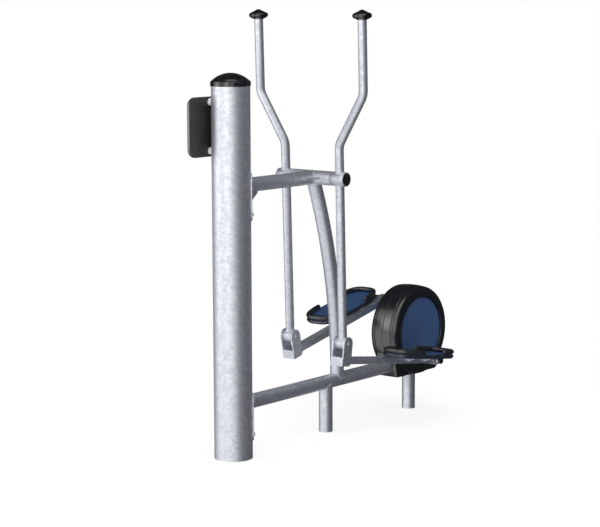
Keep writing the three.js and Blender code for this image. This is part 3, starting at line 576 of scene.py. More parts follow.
class Form:
    """Closed shapes gathered into the mesh of one piece."""

    def __init__(self):
        self.points = []
        self.faces = []

    def add(self, other, place):
        """Take in another form, moved to a place."""
        base = len(self.points)
        self.points += [place @ point for point in other.points]
        self.faces += [tuple(base + i for i in face) for face in other.faces]
        return self

    def loft(self, rings, loop=False):
        """Skin over rings of equal length, closed on itself as a loop or capped at both ends."""
        base = len(self.points)
        count = len(rings[0])
        for ring in rings:
            self.points += ring
        steps = len(rings) if loop else len(rings) - 1
        for i in range(steps):
            lower = base + i * count
            upper = base + (i + 1) % len(rings) * count
            for j in range(count):
                k = (j + 1) % count
                self.faces.append((lower + j, lower + k, upper + k, upper + j))
        if not loop:
            self.faces.append(tuple(base + j for j in reversed(range(count))))
            self.faces.append(tuple(base + steps * count + j for j in range(count)))
        return self

    def lathe(self, profile, place, sides=96, loop=False):
        """Turn (radius, height) points about a place's Z axis; a loop is a profile closed on itself."""
        rings = [circle(UP * height, radius, ALONG, ACROSS, sides) for radius, height in profile]
        return self.loft([[place @ point for point in ring] for ring in rings], loop)

    def spool(self, profile, centre, sign=1, sides=64, loop=False):
        """Turn (radius, offset) points about the line across the walker through a centre."""
        place = Matrix.Translation(centre) @ Matrix.Rotation(-math.pi / 2, 4, "X")
        return self.lathe([(radius, sign * offset) for radius, offset in profile], place, sides, loop)

    def collar(self, outer, inner, half, centre):
        """A collar across the walker, with small chamfers at its outer edges."""
        edge = TURNED_EDGE
        section = [(inner, -half), (outer - edge, -half), (outer, edge - half)]
        section += [(outer, half - edge), (outer - edge, half), (inner, half)]
        return self.spool(section, centre, loop=True)

    def prism(self, outline, thickness, place):
        """An outline in the matrix's XY plane, thickened along its Z, half to each side."""
        halves = (-thickness / 2, thickness / 2)
        return self.loft([[place @ Vector((x, y, height)) for x, y in outline] for height in halves])

    def block(self, low, high):
        """A straight block between two corners."""
        x0, y0, z0 = low
        x1, y1, z1 = high
        place = Matrix.Translation((0, 0, (z0 + z1) / 2))
        return self.prism([(x0, y0), (x1, y0), (x1, y1), (x0, y1)], abs(z1 - z0), place)

    def pipe(self, path, radius, wall, sides=48, steps=1, start=None, end=None):
        """A round tube along a path, trimmed at each end where it would enter another piece."""
        outer, inner = (trimmed(path, r, sides, steps, start, end) for r in (radius, radius - wall))
        return self.loft(outer + inner[::-1], loop=True)


def trimmed(path, radius, sides, steps, start=None, end=None):
    """Rings of a tube whose every line runs from one trimming surface to the other."""
    lines = []
    for turn in full_turn(sides):

        def on_line(share, turn=turn):
            centre, normal, across = path(share)
            return centre + radius * (math.cos(turn) * normal + math.sin(turn) * across)

        first = leaving(on_line, start, 0, 1) if start else 0
        last = leaving(on_line, end, 1, 0) if end else 1
        lines.append([on_line(first + (last - first) * i / steps) for i in range(steps + 1)])
    return [[line[i] for line in lines] for i in range(steps + 1)]


def leaving(on_line, inside, near, far, probes=64, halvings=24):
    """The share of a line, from its near end, at which it leaves a body for good."""
    low = near
    for i in range(probes // 2, -1, -1):
        share = near + (far - near) * i / probes
        if inside(on_line(share)):
            low = share
            break
    high = low + (far - near) / probes
    for _ in range(halvings):
        middle = (low + high) / 2
        if inside(on_line(middle)):
            low = middle
        else:
            high = middle
    return high


def straight(start, end, normal):
    """A straight path, with its cross directions."""
    across = (end - start).normalized().cross(normal)
    return lambda share: (start.lerp(end, share), normal, across)


def in_cylinder(centre, axis, radius):
    """A test for the inside of an endless cylinder."""

    def inside(point):
        away = point - centre
        return (away - axis * away.dot(axis)).length < radius

    return inside


def bent_path(corners, radius, arc_steps=12):
    """Places and directions along a path whose corners are rounded."""
    places = [corners[0]]
    runs = [(corners[1] - corners[0]).normalized()]
    for before, corner, after in zip(corners, corners[1:], corners[2:]):
        way_in = (corner - before).normalized()
        way_out = (after - corner).normalized()
        angle = way_in.angle(way_out)
        aside = (way_out - way_in * way_out.dot(way_in)).normalized()
        start = corner - way_in * radius * math.tan(angle / 2)
        for k in range(arc_steps + 1):
            turn = angle * k / arc_steps
            places.append(start + way_in * radius * math.sin(turn) + aside * radius * (1 - math.cos(turn)))
            runs.append(way_in * math.cos(turn) + aside * math.sin(turn))
    places.append(corners[-1])
    runs.append((corners[-1] - corners[-2]).normalized())
    return places, runs


def quarter(radius, rise, inner=0.0, base=0.0, steps=10):
    """A rounded shoulder from (radius, base) up to (inner, base + rise)."""
    return [
        (inner + (radius - inner) * math.cos(turn), base + rise * math.sin(turn))
        for turn in quarter_turn(steps)
    ]


def soft_edge(radius, face, edge):
    """The rounded edge between a turned piece's side and its face."""
    return quarter(radius, edge, radius - edge, face - edge, steps=6)


def shallow_dome(radius, rise, base, tip, steps=14):
    """A flat arc from its rim almost to its apex."""
    sphere = (radius**2 + rise**2) / (2 * rise)
    sweep = math.asin(radius / sphere)
    last = math.asin(tip / sphere)
    points = []
    for i in range(steps + 1):
        turn = sweep + (last - sweep) * i / steps
        points.append((sphere * math.sin(turn), base + rise - sphere * (1 - math.cos(turn))))
    return points


def rounded_rectangle(width, height, corner, steps):
    """The outline of a rectangle with round corners, about its middle."""
    points = []
    for number, (side_x, side_y) in enumerate(((1, 1), (-1, 1), (-1, -1), (1, -1))):
        for turn in quarter_turn(steps):
            turn += math.pi / 2 * number
            x = side_x * (width / 2 - corner) + corner * math.cos(turn)
            points.append((x, side_y * (height / 2 - corner) + corner * math.sin(turn)))
    return points


def smooth_line(corners, steps=6):
    """A smooth line through a few chosen points."""
    points = []
    ends = [corners[0], *corners, corners[-1]]
    for a, b, c, d in zip(ends, ends[1:], ends[2:], ends[3:]):
        for t in [i / steps for i in range(steps)]:
            point = []
            for k in (0, 1):
                slope = (c[k] - a[k]) / 2
                square = a[k] - 2.5 * b[k] + 2 * c[k] - d[k] / 2
                cube = 1.5 * (b[k] - c[k]) + (d[k] - a[k]) / 2
                point.append(b[k] + t * (slope + t * (square + t * cube)))
            points.append(tuple(point))
    return points + [corners[-1]]


def domed_bolt(radius, rise, socket=0.0032, depth=0.0026, shank=0.006, run=0.012, sides=48):
    """A domed bolt head with a six-sided socket and a stub of shank, along Z."""
    mouth = rise * 0.94
    profile = [(shank, -run), (shank, 0), (radius, 0), *quarter(radius, mouth, socket * 1.45, steps=8)[1:]]
    rings = [circle(UP * height, size, ALONG, ACROSS, sides) for size, height in profile]
    for height in (mouth, mouth - depth):
        ring = []
        for turn in full_turn(sides):
            size = socket / math.cos(turn % (math.pi / 3) - math.pi / 6)
            ring.append(Vector((size * math.cos(turn), size * math.sin(turn), height)))
        rings.append(ring)
    return Form().loft(rings)


def foot_point(turn, outset, height):
    """A point on a footplate's rounded outline, moved outward, at a height."""
    power = 2 / FOOT_POWER
    along, across = math.cos(turn), math.sin(turn)
    x = math.copysign((FOOT_HALF_LENGTH + outset) * abs(along) ** power, along)
    y = math.copysign((FOOT_HALF_WIDTH + outset) * abs(across) ** power, across)
    return Vector((x, y, height))


def foot_bar(turns, outset, height, radius, sides=28, reach=0.02):
    """Rings of a round bar along a footplate's outline."""
    rings = []
    for turn in turns:
        before, centre, after = (foot_point(t, outset, height) for t in (turn - reach, turn, turn + reach))
        rings.append(circle(centre, radius, (after - before).normalized().cross(UP), UP, sides))
    return rings


def round_ends(rings, steps=6):
    """Rings with a half ball added at each end."""
    ends = []
    for ring, neighbour in ((rings[0], rings[1]), (rings[-1], rings[-2])):
        centre = sum(ring, Vector()) / len(ring)
        inward = sum(neighbour, Vector()) / len(neighbour) - centre
        normal = (ring[0] - centre).cross(ring[1] - centre).normalized()
        away = -normal if normal.dot(inward) > 0 else normal
        radius = (ring[0] - centre).length
        cap = []
        for i in range(1, steps + 1):
            turn = math.pi / 2 * (i if i < steps else steps - 0.15) / steps
            top = centre + away * radius * math.sin(turn)
            cap.append([top + (point - centre) * math.cos(turn) for point in ring])
        ends.append(cap)
    return ends[0][::-1] + rings + ends[1]


# Pieces


def new_object(name, data):
    made = bpy.data.objects.new(name, data)
    bpy.context.scene.collection.objects.link(made)
    return made


def add_piece(name, form, look, body, replaced=(), place=None, bevel=0.0, sharp=40.0):
    """Make a form into a piece of a body, with softened edges and its finish."""
    mesh = bpy.data.meshes.new(name)
    mesh.from_pydata([tuple(point) for point in form.points], [], form.faces)
    work = bmesh.new()
    work.from_mesh(mesh)
    bmesh.ops.remove_doubles(work, verts=work.verts, dist=0.000001)
    bmesh.ops.recalc_face_normals(work, faces=work.faces)
    if bevel:
        limit = math.radians(sharp)
        edges = [e for e in work.edges if len(e.link_faces) == 2 and e.calc_face_angle() > limit]
        bmesh.ops.bevel(
            work, geom=edges, offset=bevel, offset_type="OFFSET", segments=2, profile=0.7, affect="EDGES",
            clamp_overlap=True,
        )
    if place is not None:
        work.transform(place)
    work.to_mesh(mesh)
    work.free()
    mesh.polygons.foreach_set("use_smooth", [True] * len(mesh.polygons))
    mesh.set_sharp_from_angle(angle=math.radians(sharp + 12))
    mesh.materials.append(finish(look))
    piece = new_object(name, mesh)
    if bevel:
        piece.modifiers.new("Even shading", "WEIGHTED_NORMAL").keep_sharp = True
    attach(piece, body)
    if replaced:
        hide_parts(*replaced)
    return piece


def add_weld(name, line, body, place=None, sides=10):
    """A rippled weld bead along a closed line of points."""
    lengths = [0.0]
    for a, b in zip(line, line[1:] + line[:1]):
        lengths.append(lengths[-1] + (b - a).length)
    total = lengths[-1]
    middle = sum(line, Vector()) / len(line)
    steps = 4 * max(8, round(total / WELD_PITCH))
    index = 0
    places = []
    for i in range(steps):
        at = total * i / steps
        while lengths[index + 1] < at:
            index += 1
        part = (at - lengths[index]) / (lengths[index + 1] - lengths[index])
        places.append(line[index].lerp(line[(index + 1) % len(line)], part))
    rings = []
    for i, centre in enumerate(places):
        run = (places[(i + 1) % steps] - places[i - 1]).normalized()
        out = centre - middle
        out = (out - run * out.dot(run)).normalized()
        size = bpy.context.scene.walker_steel.bead + WELD_RIPPLE * math.cos(math.pi / 2 * i)
        rings.append(circle(centre, size, out, run.cross(out), sides))
    return add_piece(name, Form().loft(rings, loop=True), "steel", body, place=place, sharp=70)


def dress(name, look, bevel=0.0):
    """Give a node of the frame its finish, and softened edges where it has a bevel."""
    piece = frame["nodes"][name]
    piece.data.materials.clear()
    piece.data.materials.append(finish(look))
    piece.modifiers.new("Join", "WELD").merge_threshold = 0.00001
    if bevel:
        soften = piece.modifiers.new("Soften", "BEVEL")
        soften.width = bevel
        soften.segments = 2
        soften.limit_method = "ANGLE"
        soften.angle_limit = math.radians(40)
        soften.harden_normals = True


# Operators


class WALKER_OT_post(bpy.types.Operator):
    """Turn the post and its domed cap"""

    bl_idname = "walker.post"
    bl_label = "Post"

    def execute(self, context):
        place = Matrix.Translation(POST)
        inner = POST_RADIUS - POST_WALL
        tube = [(POST_RADIUS, 0), (POST_RADIUS, POST_HEIGHT), (inner, POST_HEIGHT), (inner, 0)]
        add_piece("post_tube", Form().lathe(tube, place, 128, loop=True), "steel", "frame", ["post"])

        bore = POST_RADIUS + SADDLE_SEAT
        skirt = POST_HEIGHT - POST_CAP_SKIRT
        tip = 2 * NEAR_AXIS
        cap = [
            (tip, POST_HEIGHT + GAP),
            (bore, POST_HEIGHT + GAP),
            (bore, skirt),
            (POST_CAP_RADIUS - POST_CAP_HEM, skirt),
            (POST_CAP_RADIUS, skirt + POST_CAP_HEM),
            *soft_edge(POST_CAP_RADIUS, POST_HEIGHT, POST_CAP_EDGE),
            *shallow_dome(POST_CAP_RADIUS - POST_CAP_EDGE, POST_CAP_RISE, POST_HEIGHT, tip)[1:],
        ]
        add_piece("post_cap_dome", Form().lathe(cap, place, 128), "caps", "frame", ["post_cap"], sharp=30)
        return {"FINISHED"}


class WALKER_OT_sign(bpy.types.Operator):
    """Cut the sign board and its four spacers"""

    bl_idname = "walker.sign"
    bl_label = "Sign board"

    def execute(self, context):
        outline = rounded_rectangle(SIGN_WIDTH, SIGN_HEIGHT, SIGN_CORNER, 12)
        height = POST_HEIGHT - SIGN_DROP + SIGN_HEIGHT / 2
        middle = from_post(0, SIGN_STANDOFF + SIGN_THICKNESS / 2, height)
        place = Matrix.Translation(middle) @ Matrix.Rotation(math.pi / 2, 4, "X")
        form = Form().prism(outline, SIGN_THICKNESS, place)
        board = add_piece("sign_board", form, "sign", "frame", ["sign_panel"], bevel=SIGN_EDGE)
        # The board's edge faces get the lightened edge material: a painted highlight all round its rim, under
        # a glossier coat.
        board.data.materials.append(finish("sign_edge"))
        for face in board.data.polygons:
            if abs(face.normal.y) < 0.5:
                face.material_index = 1

        on_post = in_cylinder(POST, UP, POST_RADIUS + SADDLE_SEAT)
        for row, drop in SPACER_DROPS:
            for end, x in (("front", -SPACER_OFFSET), ("rear", SPACER_OFFSET)):
                centre = from_post(x, 0, POST_HEIGHT - drop)
                path = straight(centre, centre + ACROSS * (SIGN_STANDOFF - GAP), ALONG)
                form = Form().loft(trimmed(path, SPACER_RADIUS, 40, 1, start=on_post))
                name = f"sign_spacer_{row}_{end}"
                add_piece(f"{name}_rod", form, "spacer", "frame", [name])
        return {"FINISHED"}


class WALKER_OT_saddles(bpy.types.Operator):
    """Roll the two saddles and set their domed bolts"""

    bl_idname = "walker.saddles"
    bl_label = "Saddles"

    def execute(self, context):
        inner = POST_RADIUS + SADDLE_SEAT
        outer = inner + SADDLE_THICKNESS
        run = SADDLE_HALF_ANGLE - SADDLE_CHAMFER / outer
        turns = [-SADDLE_HALF_ANGLE, *(run * (i / 16 - 1) for i in range(33)), SADDLE_HALF_ANGLE]
        for level, bottom in SADDLE_BOTTOMS:
            rings = []
            for turn in turns:
                cut = max(0.0, abs(turn) - run) * outer
                low, high = bottom + cut, bottom + SADDLE_HEIGHT - cut
                out = Vector((math.cos(turn), math.sin(turn), 0))
                corners = ((outer, low), (outer, high), (inner, high), (inner, low))
                rings.append([POST + out * radius + UP * z for radius, z in corners])
            name = f"{level}_saddle"
            add_piece(f"{name}_plate", Form().loft(rings), "steel", "frame", [name], bevel=SADDLE_EDGE)
            for row, height in (("low", bottom + BOLT_EDGE), ("high", bottom + SADDLE_HEIGHT - BOLT_EDGE)):
                for side, sign in SIDES:
                    place = Matrix.Translation(POST + UP * height)
                    place @= Matrix.Rotation(sign * BOLT_ANGLE, 4, "Z")
                    place @= Matrix.Translation((outer + GAP, 0, 0)) @ Matrix.Rotation(math.pi / 2, 4, "Y")
                    name = f"{level}_saddle_bolt_{row}_{side}"
                    form = domed_bolt(BOLT_HEAD_RADIUS, BOLT_HEAD_RISE)
                    add_piece(f"{name}_head", form, "stainless", "frame", [name], place)
        return {"FINISHED"}


class WALKER_OT_frame_tubes(bpy.types.Operator):
    """Cope and weld the beams, the strut, the axle tube and the legs"""

    bl_idname = "walker.frame_tubes"
    bl_label = "Frame tubes"

    def execute(self, context):
        upper_line = from_post(0, 0, UPPER_BEAM_HEIGHT)
        lower_line = from_post(0, 0, LOWER_BEAM_HEIGHT)
        in_saddle = in_cylinder(POST, UP, POST_RADIUS + SADDLE_SEAT + SADDLE_THICKNESS + GAP)
        in_axle = in_cylinder(AXLE, ACROSS, TUBE_RADIUS + GAP)
        in_upper = in_cylinder(upper_line, ALONG, TUBE_RADIUS + GAP)
        in_lower = in_cylinder(lower_line, ALONG, TUBE_RADIUS + GAP)

        def tube(name, path, start=None, end=None, steps=1, welds=("start", "end")):
            form = Form().pipe(path, TUBE_RADIUS, TUBE_WALL, 64, steps, start, end)
            add_piece(f"{name}_tube", form, "steel", "frame", [name])
            rings = trimmed(path, TUBE_RADIUS, 96, 1, start, end)
            for weld in welds:
                add_weld(f"{name}_weld_{weld}", rings[0 if weld == "start" else -1], "frame")

        beam_end = from_post(AXLE_X, 0, UPPER_BEAM_HEIGHT)
        tube("upper_beam", straight(upper_line, beam_end, UP), in_saddle, in_axle)
        beam_end = from_post(REAR_LEG_X + BEAM_END_RUN, 0, LOWER_BEAM_HEIGHT)
        tube("lower_beam", straight(lower_line, beam_end, UP), in_saddle, welds=("start",))
        for name, x, welds in (("front_leg", FRONT_LEG_X, ("end",)), ("rear_leg", REAR_LEG_X, ())):
            foot = from_post(x, 0, 0)
            tube(name, straight(foot, foot + UP * LOWER_BEAM_HEIGHT, ALONG), None, in_lower, welds=welds)

        foot_height = LOWER_BEAM_HEIGHT + TUBE_RADIUS
        rise = UPPER_BEAM_HEIGHT - foot_height
        shift = STRUT_FOOT_X - AXLE_X
        bend = (rise**2 + shift**2) / (2 * shift)
        sweep = math.asin(rise / bend)
        sink = TUBE_RADIUS / bend

        def strut(share):
            turn = -sink + (sweep + sink) * share
            x = STRUT_FOOT_X - bend * (1 - math.cos(turn))
            place = from_post(x, 0, foot_height + bend * math.sin(turn))
            return place, Vector((math.cos(turn), 0, math.sin(turn))), ACROSS

        tube("strut", strut, in_lower, lambda p: in_axle(p) or in_upper(p), steps=40)

        half = ACROSS * (ARM_OFFSET - SLEEVE_HALF - GAP)
        wall = TUBE_RADIUS - SHAFT_RADIUS - GAP
        form = Form().pipe(straight(AXLE - half, AXLE + half, UP), TUBE_RADIUS, wall, 64)
        add_piece("axle_tube_pipe", form, "steel", "frame", ["axle_tube"], bevel=AXLE_TUBE_EDGE)

        for name in ("beam_gusset", "axle_gusset_left", "axle_gusset_right"):
            dress(name, "steel", GUSSET_EDGE)
        for name in ("bearing_bracket_left", "bearing_bracket_right", "inertia_wheel"):
            dress(name, "steel")
        for name in ("axle_shaft", "crank_shaft"):
            dress(name, "stainless")
        return {"FINISHED"}


class WALKER_OT_casing(bpy.types.Operator):
    """Mould the two halves of the drum casing with its base box"""

    bl_idname = "walker.casing"
    bl_label = "Casing"

    def execute(self, context):
        for name, sign in SIDES:
            form = Form().spool(self.profile(), CRANK, sign, 192, loop=True)
            for point in form.points:
                point.z = max(point.z, DRUM_FLOOR)
            node_name = f"casing_{name}"
            add_piece(f"{node_name}_drum", form, "casing", "frame", [node_name], sharp=28)
            add_piece(f"{node_name}_box", self.box(sign), "casing", "frame", [node_name], sharp=30)
        return {"FINISHED"}

    def profile(self):
        """Outer skin from the seam to the opening, a shelf behind the disc's edge, then the inner skin."""
        seam = SEAM_GAP / 2
        rim = DRUM_RADIUS - DRUM_SHOULDER
        flat = DRUM_HALF_WIDTH - DRUM_SHOULDER

        def tread(y):
            return DRUM_RADIUS - CASING_CROWN * (y / SIDE_GROOVE) ** 2

        points = [(DRUM_RADIUS - 2.2 * SEAM_EDGE, seam)]
        points += [
            (DRUM_RADIUS - SEAM_EDGE * (1 - math.sin(t)), seam + SEAM_EDGE * (1 - math.cos(t)))
            for t in quarter_turn(4)
        ]
        first, last = seam + SEAM_EDGE, SIDE_GROOVE - SIDE_GROOVE_WIDTH
        points += [(tread(y), y) for y in [first + (last - first) * i / 8 for i in range(1, 9)]]
        for depth, way in ((0.3, 0.22), (1, 0.5), (1, 0.75), (0.25, 1)):
            points.append((tread(last) - SIDE_GROOVE_DEPTH * depth, last + SIDE_GROOVE_WIDTH * way))
        rise = DRUM_SHOULDER - CASING_CROWN - SIDE_GROOVE_DEPTH * 0.1
        for turn in [math.pi / 2 * (0.04 + 0.96 * i / 16) for i in range(17)]:
            points.append((rim + rise * math.cos(turn), flat + DRUM_SHOULDER * math.sin(turn)))
        face = DRUM_HALF_WIDTH - GAP
        shelf = DISC_FACE - DISC_THICKNESS - SHELF_CLEARANCE
        points += [
            (DRUM_OPENING + CASING_LIP + CASING_WALL, DRUM_HALF_WIDTH),
            (DRUM_OPENING + CASING_LIP, face),
            (DRUM_OPENING + 0.3 * CASING_LIP, face - 0.3 * CASING_LIP),
            (DRUM_OPENING, face - CASING_LIP),
            (DRUM_OPENING, shelf),
            (DRUM_OPENING - SHELF_DEPTH, shelf),
            (DRUM_OPENING - SHELF_DEPTH, shelf - SHELF_WALL),
            (DRUM_OPENING + SHELF_WALL, shelf - SHELF_WALL),
            (DRUM_OPENING + SHELF_WALL, DRUM_HALF_WIDTH - CASING_WALL),
        ]
        bore = DRUM_RADIUS - CASING_WALL - SIDE_GROOVE_DEPTH
        inside = DRUM_SHOULDER - CASING_WALL
        points += [
            (min(rim + inside * math.sin(t), bore), flat + inside * math.cos(t)) for t in quarter_turn(8)
        ]
        return points + [(bore, seam)]

    def box(self, sign):
        """One half of the base box, a closed block whose upper part lies inside the drum."""
        outline = [
            (BOX_FRONT_X - BOX_FRONT_LEAN, BOX_TOP),
            (BOX_FRONT_X, BOX_BOTTOM + BOX_EDGE),
            (BOX_FRONT_X + BOX_EDGE, BOX_BOTTOM),
        ]
        outline += [
            (BOX_REAR_X - BOX_CORNER + BOX_CORNER * math.sin(t), BOX_BOTTOM + BOX_CORNER * (1 - math.cos(t)))
            for t in quarter_turn(12)
        ]
        outline.append((BOX_REAR_X, BOX_TOP))
        centre_x = (BOX_FRONT_X + BOX_REAR_X) / 2
        centre_z = (BOX_BOTTOM + BOX_TOP) / 2
        start = BOX_HALF_WIDTH - BOX_FRONT_ROUND
        stop = BOX_HALF_WIDTH - BOX_EDGE

        def section(y, inset=0.0):
            bend = max(0, y - start) / BOX_FRONT_ROUND
            front_inset = BOX_FRONT_ROUND * (1 - math.sqrt(max(0, 1 - bend * bend)))
            points = []
            for x, z in outline:
                x += front_inset if x < centre_x else -inset
                if z < centre_z:
                    z += (centre_z - z) * inset / (centre_z - BOX_BOTTOM)
                points.append(from_post(x, sign * y, z))
            return points

        rings = [section(SEAM_GAP / 2)]
        rings += [section(start + (stop - start) * math.sin(t)) for t in quarter_turn(8)]
        rings += [
            section(stop + BOX_EDGE * math.sin(t), BOX_EDGE * (1 - math.cos(t))) for t in quarter_turn(6)[1:]
        ]
        return Form().loft(rings)


class WALKER_OT_crank(bpy.types.Operator):
    """Turn the two crank discs"""

    bl_idname = "walker.crank"
    bl_label = "Crank"

    def execute(self, context):
        back = DISC_FACE - DISC_THICKNESS
        profile = [(2 * NEAR_AXIS, back), (DISC_RADIUS, back), *soft_edge(DISC_RADIUS, DISC_FACE, DISC_EDGE)]
        profile += [(radius, DISC_FACE) for radius in (0.12, 0.08, 0.04, 2 * NEAR_AXIS)]
        for name, sign in SIDES:
            disc = f"crank_disc_{name}"
            form = Form().spool(profile, CRANK, sign, 160)
            add_piece(f"{disc}_face", form, "blue", "crank", [disc], sharp=30)
        return {"FINISHED"}


class WALKER_OT_arms(bpy.types.Operator):
    """Bend the swing arms and fit their sleeves, hubs, plugs and handle caps"""

    bl_idname = "walker.arms"
    bl_label = "Swing arms"

    def execute(self, context):
        for name, sign in SIDES:
            place = arm_matrix(name)
            body = f"{name}_swing_arm"
            middle = ACROSS * sign * ARM_OFFSET
            handle = ACROSS * sign * HANDLE_OFFSET
            hub = middle - UP * ARM_LENGTH
            in_sleeve = in_cylinder(Vector(), ACROSS, TUBE_RADIUS)
            in_hub = in_cylinder(hub, ACROSS, HUB_RADIUS)
            lower = straight(hub, middle, ALONG)
            corners = [middle, middle + UP * ARM_LOW_BEND, handle + UP * ARM_HIGH_BEND, handle + UP * ARM_TOP]
            places, runs = bent_path(corners, ARM_BEND_RADIUS)
            upper = straight(middle, places[1], ALONG)

            form = Form().pipe(lower, GRIP_RADIUS, GRIP_WALL, 48, 1, in_hub, in_sleeve)
            skins = []
            for radius in (GRIP_RADIUS, GRIP_RADIUS - GRIP_WALL):
                skin = [trimmed(upper, radius, 48, 1, in_sleeve)[0]]
                for spot, run in zip(places[1:], runs[1:]):
                    skin.append(circle(spot, radius, ALONG, run.cross(ALONG), 48))
                skins.append(skin)
            form.loft(skins[0] + skins[1][::-1], loop=True)
            form.collar(TUBE_RADIUS, SHAFT_RADIUS + GAP, SLEEVE_HALF, middle)
            hub_half = HUB_HALF + CHEEK_OUTER - CHEEK_INNER - CHEEK_WALL
            form.collar(HUB_RADIUS, PIVOT_BOLT_RADIUS + GAP, hub_half, hub)
            add_piece(f"{name}_arm_tube", form, "steel", body, [f"{name}_arm"], place)
            low_ring, high_ring = trimmed(lower, GRIP_RADIUS, 96, 1, in_hub, in_sleeve)
            add_weld(f"{name}_arm_weld_low", high_ring, body, place)
            add_weld(f"{name}_arm_weld_high", trimmed(upper, GRIP_RADIUS, 96, 1, in_sleeve)[0], body, place)
            add_weld(f"{name}_hub_weld", low_ring, body, place)

            end = ARM_OFFSET + SLEEVE_HALF
            plug = [(NEAR_AXIS, end - PLUG_DEPTH), (PLUG_RADIUS, end - PLUG_DEPTH)]
            form = Form().spool(plug + quarter(PLUG_RADIUS, PLUG_DOME, NEAR_AXIS, end), Vector(), sign)
            add_piece(f"{name}_plug_dome", form, "caps", body, [f"{name}_sleeve_plug"], place, sharp=30)
            form = Form().lathe(self.cap_profile(), Matrix.Translation(corners[-1]))
            add_piece(f"{name}_handle_knob", form, "caps", body, [f"{name}_handle_cap"], place, sharp=30)
        return {"FINISHED"}

    def cap_profile(self):
        """A handle's cap: a socket, a tapering skirt, a round rim and a cone with a blunt tip."""
        line = [(HANDLE_CAP_RADIUS * r, HANDLE_CAP_SKIRT * z) for r, z in SKIRT_SHARES]
        line += [(HANDLE_CAP_RADIUS * r, HANDLE_CAP_RISE * z) for r, z in CONE_SHARES]
        socket = GRIP_RADIUS + GAP
        mouth = [(socket, -HANDLE_CAP_SKIRT), (HANDLE_CAP_RADIUS * 0.52, -HANDLE_CAP_SKIRT)]
        return [(NEAR_AXIS, GAP), (socket, GAP), *mouth, *smooth_line(line)]


